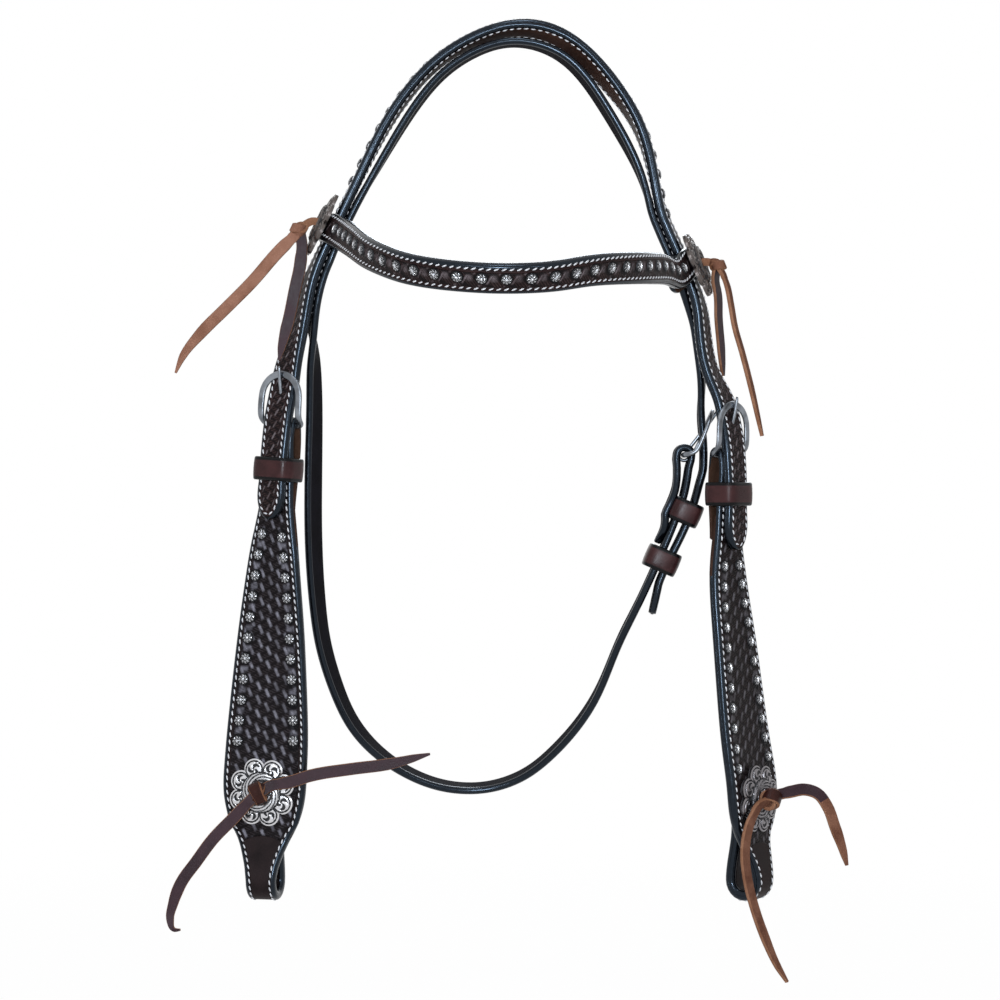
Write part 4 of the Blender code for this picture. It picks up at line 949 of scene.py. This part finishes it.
def setCopies(name, shape, places, material, degrees=60):
    # one mesh with a copy of the shape at each place: (point, run, width and face directions)
    points, faces = shape
    allPoints, allFaces = [], []
    for k, (place, way, width, face) in enumerate(places):
        basis = np.array([list(way), list(width), list(face)])
        allPoints.append(points @ basis + np.array(place))
        allFaces += [[v + k * len(points) for v in f] for f in faces]
    mesh = bpy.data.meshes.new(name)
    mesh.from_pydata(np.concatenate(allPoints).tolist(), [], allFaces)
    mesh.materials.append(material)
    piece = bpy.data.objects.new(name, mesh)
    scene.collection.objects.link(piece)
    joinSeam(piece, 1e-7)
    smooth(piece, degrees)
    settle(piece, name, "headstall")
    return piece


def seamLine(strap, start, end, shift=0.0, closed=False):
    # the row's path on the strap: down one side and up the other, as one line where it rounds the tips
    runs = np.linspace(start, end, max(2, int((end - start) / 0.001)))
    down, up = (
        [(run, sign * strap.seamAt(run, stitchLook["inset"]) + shift) for run in way]
        for sign, way in ((1, runs), (-1, runs[::-1]))
    )
    return [down + up + down[:1]] if closed else [down, up]


def placeStitches(strap, lines, slant):
    look = stitchLook
    angle = math.radians(slant)
    places = []
    for line in lines:
        points = [strap.at(run, across)[0] for run, across in line]
        total = runsOf(points)
        count = int(total[-1] / look["pitch"])
        for k in range(count):
            reach = (k + 0.5) * total[-1] / count
            run, across = (float(np.interp(reach, total, values)) for values in zip(*line))
            place, _, _, face = strap.at(run, across, look["lift"])
            i = min(int(np.searchsorted(total, reach)), len(points) - 1)
            heading = points[i] - points[i - 1]
            heading = (heading - face * heading.dot(face)).normalized()
            cross = face.cross(heading)
            places.append((
                place,
                heading * math.cos(angle) + cross * math.sin(angle),
                cross * math.cos(angle) - heading * math.sin(angle),
                face,
            ))
    return places


stitchShape = takeMesh(makeStitch(stitchLook))
inset = stitchLook["inset"]
liningSeam = (0.045, 0.72)  # from where on, and to what share of the lining's length
seams = [
    ("crown_stitching", crown, 16, "tooled_leather", inset, crown.long - inset, 0.0, True),
    ("crown_lining_stitching", crownLining, 10, "strap_lining", inset, crownLining.long - inset, 0.0, True),
    ("browband_stitching", brow, 24, "tooled_leather", wrapLeft + 0.001, wrapRight - 0.001, -0.0006),
    ("browband_lining_stitching", browLining, 10, "strap_lining", inset, browLining.long - inset),
]
for side, cheek in cheeks.items():
    span = (cheekBars[side], cheek.long - inset)
    seams.append((side + "_cheek_stitching", cheek, 12, "tooled_leather", *span))
for side, lining in cheekLinings.items():
    span = (liningSeam[0], lining.long * liningSeam[1])
    seams.append((side + "_lining_stitching", lining, 10, "strap_lining", *span))
for name, strap, slant, slot, *span in seams:
    setCopies(name, stitchShape, placeStitches(strap, seamLine(strap, *span), slant), threadFinish)
print("stitches sewn")


# Metal finishes


def steelFinish(name, tones, roughness):
    def surface(shade, place):
        patches = shade.patches(place, 160.0, 5.0)
        fine = shade.noise(place, 2500.0, 2.0)
        return {
            "Base Color": patches.blend(*tones),
            "Roughness": (patches * 0.12 + fine * 0.08) + roughness,
            "Normal": (patches + fine * 0.4).bump(0.00003, 0.5),
        }

    return finish(name, surface, {"Metallic": 1.0})


def silverFinish(name, polished, stained=0.35, span=(0.25, 0.75)):
    # polished where it stands proud, dark where the antiquing stayed
    def surface(shade, place):
        worn, _, _ = shade.map("worn")
        stain = shade.noise(place, 420.0, 4.0)
        bright = (worn + (stain - 0.5) * stained).between(*span)
        return {
            "Base Color": bright.blend((0.012, 0.012, 0.014, 1), polished),
            "Metallic": bright.remapped(0.45, 1.0),
            "Roughness": bright.remapped(0.6, 0.27),
            "Normal": stain.bump(0.00004, 0.6),
        }

    return finish(name, surface)


steel = steelFinish("antiqued steel", ((0.13, 0.14, 0.155, 1), (0.26, 0.28, 0.31, 1)), 0.26)
silver = silverFinish("antiqued silver", (0.60, 0.60, 0.62, 1))
# a darker copy of the concho silver for the right cheek concho, which faces away from the light: painted
# shade
shadedRightSilver = silverFinish("antiqued silver with painted shade on the right cheek", (0.20, 0.19, 0.20, 1), 0.7)
# a darker, brown-toned copy of the concho silver for the brow conchos, which are seen edge-on: partly a
# bronze tone, partly painted shade
bronzeAndShadedSilver = silverFinish("antiqued silver gone bronze with painted shade", (0.11, 0.095, 0.09, 1), 0.9)
spotSilver = silverFinish("starburst silver", (0.80, 0.81, 0.84, 1), 0.15, (0.60, 0.92))


# Starburst spots: a fluted dome on a dark rim, modelled once

spotLook = {"radius": 0.0030, "rise": 0.0019, "rays": 8, "sink": 0.0002, "flute": 0.26,
            "rings": (0.0, 0.17, 0.32, 0.56, 0.78, 0.88, 1.0)}


def makeSpot(look):
    count = look["rays"] * 3
    rows, worn = [], []
    for share in look["rings"]:
        row, tone = [], []
        for k in range(count + 1):
            angle = 2 * math.pi * k / count
            ray = 1 if k % 3 == 0 else 0
            flute = look["flute"] * math.sin(math.pi * min(share / 0.9, 1.0)) * (1 - ray)
            height = look["rise"] * math.sqrt(max(0.0, 1 - share**2)) * (1 - flute)
            radius = look["radius"] * share
            row.append((radius * math.cos(angle), radius * math.sin(angle), height - look["sink"]))
            polish = 1.0 if share < 0.2 else (1.15 * ray if share < 0.85 else 0.0)
            tone.append((polish, 0.0))
        rows.append(row)
        worn.append(tone)
    piece = gridPiece(rows)
    gridUv(piece, "worn", worn)
    joinSeam(piece)
    return piece


def placeSpots(strap, first, last, count, across):
    # evenly spaced places; across is worked out from how far along the strap each one is
    return [strap.at(run, across(run)) for run in np.linspace(first, last, count)]


def spotRow(name, places):
    template = makeSpot(spotLook)
    tones = [list(item.uv) for item in template.data.uv_layers["worn"].data]
    shape = takeMesh(template)
    piece = setCopies(name, shape, places, spotSilver, 30)
    layer = piece.data.uv_layers.new(name="worn")
    count = len(tones)
    for k in range(len(layer.data)):
        layer.data[k].uv = tones[k % count]


spotRow("browband_spots", placeSpots(brow, *browSpotSpan, 27, lambda run: strapLook["spotShift"]))
crownSpots = []
for span in crownSpotSpans:
    crownSpots += placeSpots(crown, *span, lambda run: 0.0)
spotRow("crown_spots", crownSpots)
for side, cheek in cheeks.items():
    places = []
    for sign, span in zip((1, -1), spotSpans[side]):
        places += placeSpots(cheek, *span, 11, lambda run: sign * (cheek.wideAt(run) / 2 - spotInset))
    spotRow(side + "_cheek_spots", places)
print("spots set")


# Conchos: eight scalloped lobes round a swirl of petals, cut as relief on a round grid

conchoLook = {"radius": 0.0180, "rise": 0.0042, "edge": 0.0012, "hole": 0.172, "holeEdge": 0.0006,
              "lobes": 8, "lobeCentre": 0.685, "lobeRadius": 0.315, "petals": 8, "twist": 11.0,
              "around": 256, "rings": 56}
conchoDome = ((0.0, 0.50), (0.30, 0.55), (0.38, 0.95), (0.50, 1.0), (0.60, 0.62), (0.86, 0.42), (1.0, 0.0))


def lobeMiddle(angle, lobes):
    step = 2 * math.pi / lobes
    return (math.floor(angle / step) + 0.5) * step


def conchoRelief(x, y, look):
    # height above the dome in metres, and how polished it is, at a point in shares of the radius
    radius, angle = math.hypot(x, y), math.atan2(y, x)
    middle = lobeMiddle(angle, look["lobes"])
    cx, cy = look["lobeCentre"] * math.cos(middle), look["lobeCentre"] * math.sin(middle)
    away = math.hypot(x - cx, y - cy) / look["lobeRadius"]
    if radius > 0.60:
        if away > 0.84:
            return 0.00035, 1.0
        if away > 0.73:
            return -0.0003, 0.0
        if away > 0.60:
            return 0.0002, 0.95
        turn = math.atan2(y - cy, x - cx) - middle
        curl = math.sin(3 * turn + 8 * away)
        return (-0.00015, 0.02) if curl > 0.0 and away > 0.06 else (0.00015, 0.9)
    if radius > 0.565:
        return -0.0004, 0.0
    if radius > 0.26:
        swirl = angle * look["petals"] / (2 * math.pi) + (radius - 0.26) * look["twist"]
        part = swirl - math.floor(swirl)
        if part < 0.22:
            return -0.00025, 0.0
        vein = 0.5 + 0.5 * math.cos((part - 0.22) * 4 * math.pi / 0.78)
        return 0.00035 * (1 - part) + 0.0001 * vein, 0.35 + 0.65 * vein
    if radius > 0.235:
        return -0.0002, 0.0
    return 0.0003, 1.0


def cadPoints(node):
    # each place where a CAD node has points, once
    return np.unique(np.round([list(v.co) for v in bpy.data.objects[node].data.vertices], 7), axis=0)


def makeConcho(name, node, metal):
    look = conchoLook
    points = cadPoints(node)
    middle = points.mean(axis=0)
    _, _, axes = np.linalg.svd(points - middle)
    face = Vector(axes[2])
    if face.dot(Vector(middle) - headMiddle) < 0:
        face = -face
    heights = (points - middle) @ np.array(face)
    base = Vector(middle) + face * float(heights.min())
    flat = points - middle - np.outer(heights, np.array(face))
    far = Vector(flat[np.argmax(np.linalg.norm(flat, axis=1))]).normalized()
    other = face.cross(far)
    # a CAD lobe's tip lies on far, and a lobe's middle lies half a step round
    turn = math.pi / look["lobes"]
    rows, worn = [], []
    for i in range(look["rings"] + 1):
        share = i / look["rings"]
        row, tone = [], []
        for k in range(look["around"] + 1):
            angle = 2 * math.pi * k / look["around"]
            away = angle - lobeMiddle(angle, look["lobes"])
            c, rho = look["lobeCentre"], look["lobeRadius"]
            outline = c * math.cos(away) + math.sqrt(max(0.0, rho**2 - (c * math.sin(away)) ** 2))
            radius = look["hole"] + (outline - look["hole"]) * share
            x, y = radius * math.cos(angle), radius * math.sin(angle)
            lift, polish = conchoRelief(x, y, look)
            dome = float(np.interp(radius / (outline if radius > 0.6 else 1.0), *zip(*conchoDome)))
            height = look["edge"] + (look["rise"] - look["edge"]) * dome + lift
            if i == 0:
                height = look["holeEdge"]
            turned = angle - turn
            place = base + far * (radius * look["radius"] * math.cos(turned))
            place += other * (radius * look["radius"] * math.sin(turned)) + face * height
            row.append(tuple(place))
            tone.append((polish, 0.0))
        rows.append(row)
        worn.append(tone)
    # the flat back, then the wall of the hole
    under, inner = (
        [tuple(Vector(p) - face * (Vector(p) - base).dot(face)) for p in rows[k]] for k in (-1, 0)
    )
    rows += [under, inner, rows[0]]
    worn += [[(0.5, 0.0)] * len(under), [(0.1, 0.0)] * len(under), worn[0]]
    piece = gridPiece(rows)
    gridUv(piece, "worn", worn)
    joinSeam(piece)
    smooth(piece, 40)
    piece.data.materials.append(metal)
    settle(piece, name, "headstall", (node,))
    return base, face


conchoMetals = {"left_brow": bronzeAndShadedSilver, "right_brow": bronzeAndShadedSilver, "left_cheek": silver, "right_cheek": shadedRightSilver}
conchoPlaces = {}
for place, metal in conchoMetals.items():
    conchoPlaces[place] = makeConcho(place + "_concho_engraved", place + "_concho", metal)
print("conchos engraved")


# Ties: a lace wrapped round the strings' neck in front of each concho

tieLook = {
    "left_brow": {"along": (-0.66, 0.0, -0.75), "shows": "flesh", "girth": 0.76,
                  "strings": ("left_brow_string_long", "left_brow_string_short")},
    "right_brow": {"along": (0.35, 0.0, -0.94), "shows": "suede", "girth": 0.76,
                   "strings": ("right_brow_string_long", "right_brow_string_short")},
    "left_cheek": {"along": (0.90, 0.0, 0.42), "shows": "knot", "girth": 1.0,
                   "strings": ("left_cheek_string_inner", "left_cheek_string_outer")},
    "right_cheek": {"along": (0.75, 0.0, 0.66), "shows": "knot", "girth": 1.0,
                    "strings": ("right_cheek_string_outer", "right_cheek_string_inner")},
}
tieSize = {"halfWidth": 0.0046, "halfDepth": 0.0034, "ply": 0.0019, "around": 32, "front": 0.0075,
           "slant": 0.0010, "neck": (0.0042, 0.0040), "neckBend": 0.35, "root": (0.0058, 0.0021),
           "rootEnd": 0.0025,
           "wraps": ((0.0, 0.0072, 0.0006, 1.06), (-42.0, 0.0056, -0.0006, 1.02))}
# a wrap's section has broad cut edges that show beside its face
wrapSection = ((0.84, 1.0, "front"), (-0.84, 1.0, "edge"), (-1.0, 0.30, "edge"), (-1.0, -0.45, "edge"),
               (-0.90, -1.0, "back"), (0.90, -1.0, "edge"), (1.0, -0.45, "edge"), (1.0, 0.30, "edge"))


def makeTie(place, look):
    size = tieSize
    base, face = conchoPlaces[place]
    points = cadPoints(place + "_tie")
    depths = (points - np.array(base)) @ np.array(face)
    front = points[depths > depths.max() - size["front"]]
    middle = Vector((front.min(axis=0) + front.max(axis=0)) / 2)
    straight = Vector(look["along"])
    straight = (straight - face * straight.dot(face)).normalized()
    cross = face.cross(straight)
    parts = []
    # the wraps: closed loops of lace round the strings' line, one across the other
    for turn, band, lift, girth in size["wraps"]:
        girth, band = girth * look["girth"], band * look["girth"]
        angle = math.radians(turn)
        along = straight * math.cos(angle) + cross * math.sin(angle)
        across = face.cross(along)
        line, ways, wides = [], [], []
        wide, deep = size["halfWidth"] * girth, size["halfDepth"] * girth
        for k in range(size["around"] + 1):
            angle = 2 * math.pi * k / size["around"]
            spread = across * math.cos(angle) * wide + face * (math.sin(angle) * deep + lift)
            out = (across * math.cos(angle) / wide + face * math.sin(angle) / deep).normalized()
            line.append(middle + spread + along * (size["slant"] * math.sin(angle)))
            ways.append((along, out))
            wides.append(band * (0.90 + 0.10 * math.sin(2 * angle)))
        wrap = lacePiece(line, ways, wides, size["ply"], wrapSection, closed=True)
        paintLace(wrap, look["shows"])
        parts.append(wrap)
    # the neck back to the concho and a root under each string
    neck = [base + face * 0.0003, base + face * (depths.max() * size["neckBend"]), middle]
    routes = [(neck, size["neck"], None, "knot")]
    for name in look["strings"]:
        start, after = Vector(strings[name]["points"][0]), Vector(strings[name]["points"][1])
        into = start + (after - start).normalized() * size["rootEnd"]
        routes.append(([middle, start, into], size["root"], strings[name]["turn"], strings[name]["shows"]))
    for stops, (wide, thick), turn, shows in routes:
        line = easedRoute(stops, 6)
        ways = []
        for heading in headings(line):
            side = (cross - heading * cross.dot(heading)).normalized()
            ways.append((side, side.cross(heading)) if turn is None else turnedWays(heading, turn))
        part = lacePiece(line, ways, [wide] * len(line), thick)
        paintLace(part, shows)
        parts.append(part)
    for part in parts:
        joinSeam(part)
        smooth(part, 40)
    takeUp(parts[0])
    for part in parts[1:]:
        part.select_set(True)
    bpy.ops.object.join()
    settle(parts[0], place + "_tie_wrap", "headstall", (place + "_tie",))


for tiePlace, look in tieLook.items():
    makeTie(tiePlace, look)
print("ties wrapped")


# Buckles: merged copies of the CAD frames and tongues, smoothed

tongueBodies = {"left_cheek": "left_tongue", "right_cheek": "right_tongue", "throat": "throat_tongue"}


def castCopy(node, body):
    mesh = bpy.data.objects[node].data.copy()
    mesh.materials.clear()
    piece = bpy.data.objects.new(node + "_copy", mesh)
    scene.collection.objects.link(piece)
    joinSeam(piece, outwards=False)
    takeUp(piece)
    bpy.ops.object.mode_set(mode="EDIT")
    bpy.ops.mesh.select_all(action="SELECT")
    bpy.ops.mesh.tris_convert_to_quads(face_threshold=math.radians(50), shape_threshold=math.radians(60))
    bpy.ops.object.mode_set(mode="OBJECT")
    modify(piece, "SUBSURF", levels=2, render_levels=2)
    smooth(piece, 60)
    piece.data.materials.append(steel)
    settle(piece, node + "_cast", body, (node,))


for word, tongueBody in tongueBodies.items():
    castCopy(word + "_buckle_frame", "headstall")
    castCopy(word + "_buckle_tongue", tongueBody)
print("buckles cast")


# Keepers: a folded strip with burnished rims, rounded over the outline of its CAD node

keepers = {
    "left_cheek_keeper": "left_keeper",
    "right_cheek_keeper": "right_keeper",
    "throat_keeper_sewn": "headstall",
    "throat_keeper_sliding": "throat_keeper",
}
keeperLook = {"high": 0.0104, "tall": 0.0122, "ply": 0.0018, "rim": 0.17, "around": 120, "rounding": 50,
              "looser": 0.0003}
# the strip's section: shares of its ply inwards and of half its height
keeperSection = ((0.45, -1.0), (0.16, -0.95), (0.02, -0.84), (-0.07, -0.50), (-0.12, 0.0), (-0.07, 0.50),
                 (0.02, 0.84), (0.16, 0.95), (0.45, 1.0), (0.80, 0.97), (1.0, 0.88), (1.0, -0.88),
                 (0.80, -0.97), (0.45, -1.0))


def foldedFinish(name, tones, dye, rim):
    # smooth leather with dyed rims; the map gives the share of the way across the keeper
    def surface(shade, place):
        share, _, _ = shade.map("rim")
        patches = shade.patches(place, 120.0)
        grain = shade.grain(place, 1300.0)
        rimmed = 1 - share.least(1 - share).between(rim * 0.7, rim)
        return {
            "Base Color": rimmed.blend((patches * 0.6 + grain * 0.4).blend(*tones), dye),
            "Roughness": patches.remapped(0.27, 0.37) - rimmed * 0.05,
            "Normal": (grain * 0.5 + patches * 0.3).bump(0.00005, 0.8),
        }

    return finish(name, surface, {"Specular IOR Level": 0.15})


keeperFinish = foldedFinish("keeper leather", ((0.024, 0.0085, 0.0090, 1), (0.058, 0.021, 0.021, 1)),
                            strapLook["dye"], keeperLook["rim"])


def outlineOf(points):
    # the convex outline round flat points
    points = sorted(points)
    sides = []
    for chain in (points, points[::-1]):
        side = []
        for x, y in chain:
            while len(side) > 1:
                (ax, ay), (bx, by) = side[-2:]
                if (bx - ax) * (y - ay) > (by - ay) * (x - ax):
                    break
                side.pop()
            side.append((x, y))
        sides += side[:-1]
    return np.array(sides)


def makeKeeper(node, body, look):
    mesh = bpy.data.objects[node].data
    points = np.array([list(vertex.co) for vertex in mesh.vertices])
    for edge in mesh.edges:
        a, b = (mesh.vertices[v].co for v in edge.vertices)
        if abs((b - a).length - look["high"]) < 2e-5:
            axis = (b - a).normalized()
            break
    side = axis.orthogonal().normalized()
    front = axis.cross(side)
    middle = Vector((points.max(axis=0) + points.min(axis=0)) / 2)
    flat = points - np.array(middle)
    lift = flat @ np.array(axis)
    middle += axis * float((lift.max() + lift.min()) / 2)
    hull = outlineOf([tuple(p) for p in np.round(flat @ np.array([side, front]).T, 7)])
    hull = np.vstack([hull, hull[:1]])
    reach = runsOf(hull)
    stops = np.linspace(0.0, reach[-1], look["around"], endpoint=False)
    outline = np.array([np.interp(stops, reach, hull[:, k]) for k in (0, 1)]).T
    for _ in range(look["rounding"]):
        outline = outline / 2 + (np.roll(outline, 1, axis=0) + np.roll(outline, -1, axis=0)) / 4
    centre = (hull.max(axis=0) + hull.min(axis=0)) / 2
    outline = centre + (outline - outline.mean(axis=0)) * np.ptp(hull, axis=0) / np.ptp(outline, axis=0)
    ways = np.roll(outline, -1, axis=0) - np.roll(outline, 1, axis=0)
    inwards = unitRows(np.array([-ways[:, 1], ways[:, 0]]).T)
    rows, rims = [], []
    for k in range(look["around"] + 1):
        inward = inwards[k % look["around"]]
        spot = outline[k % look["around"]] - inward * look["looser"]
        row = []
        for depth, height in keeperSection:
            x, y = (spot + inward * depth * look["ply"]).tolist()
            row.append(tuple(middle + side * x + front * y + axis * (height * look["tall"] / 2)))
        rows.append(row)
        rims.append([(height / 2 + 0.5, 0.0) for _, height in keeperSection])
    piece = gridPiece(rows)
    gridUv(piece, "rim", rims)
    joinSeam(piece)
    smooth(piece, 60)
    piece.data.materials.append(keeperFinish)
    settle(piece, node + "_loop", body, (node,))


for node, body in keepers.items():
    makeKeeper(node, body, keeperLook)
print("keepers folded")
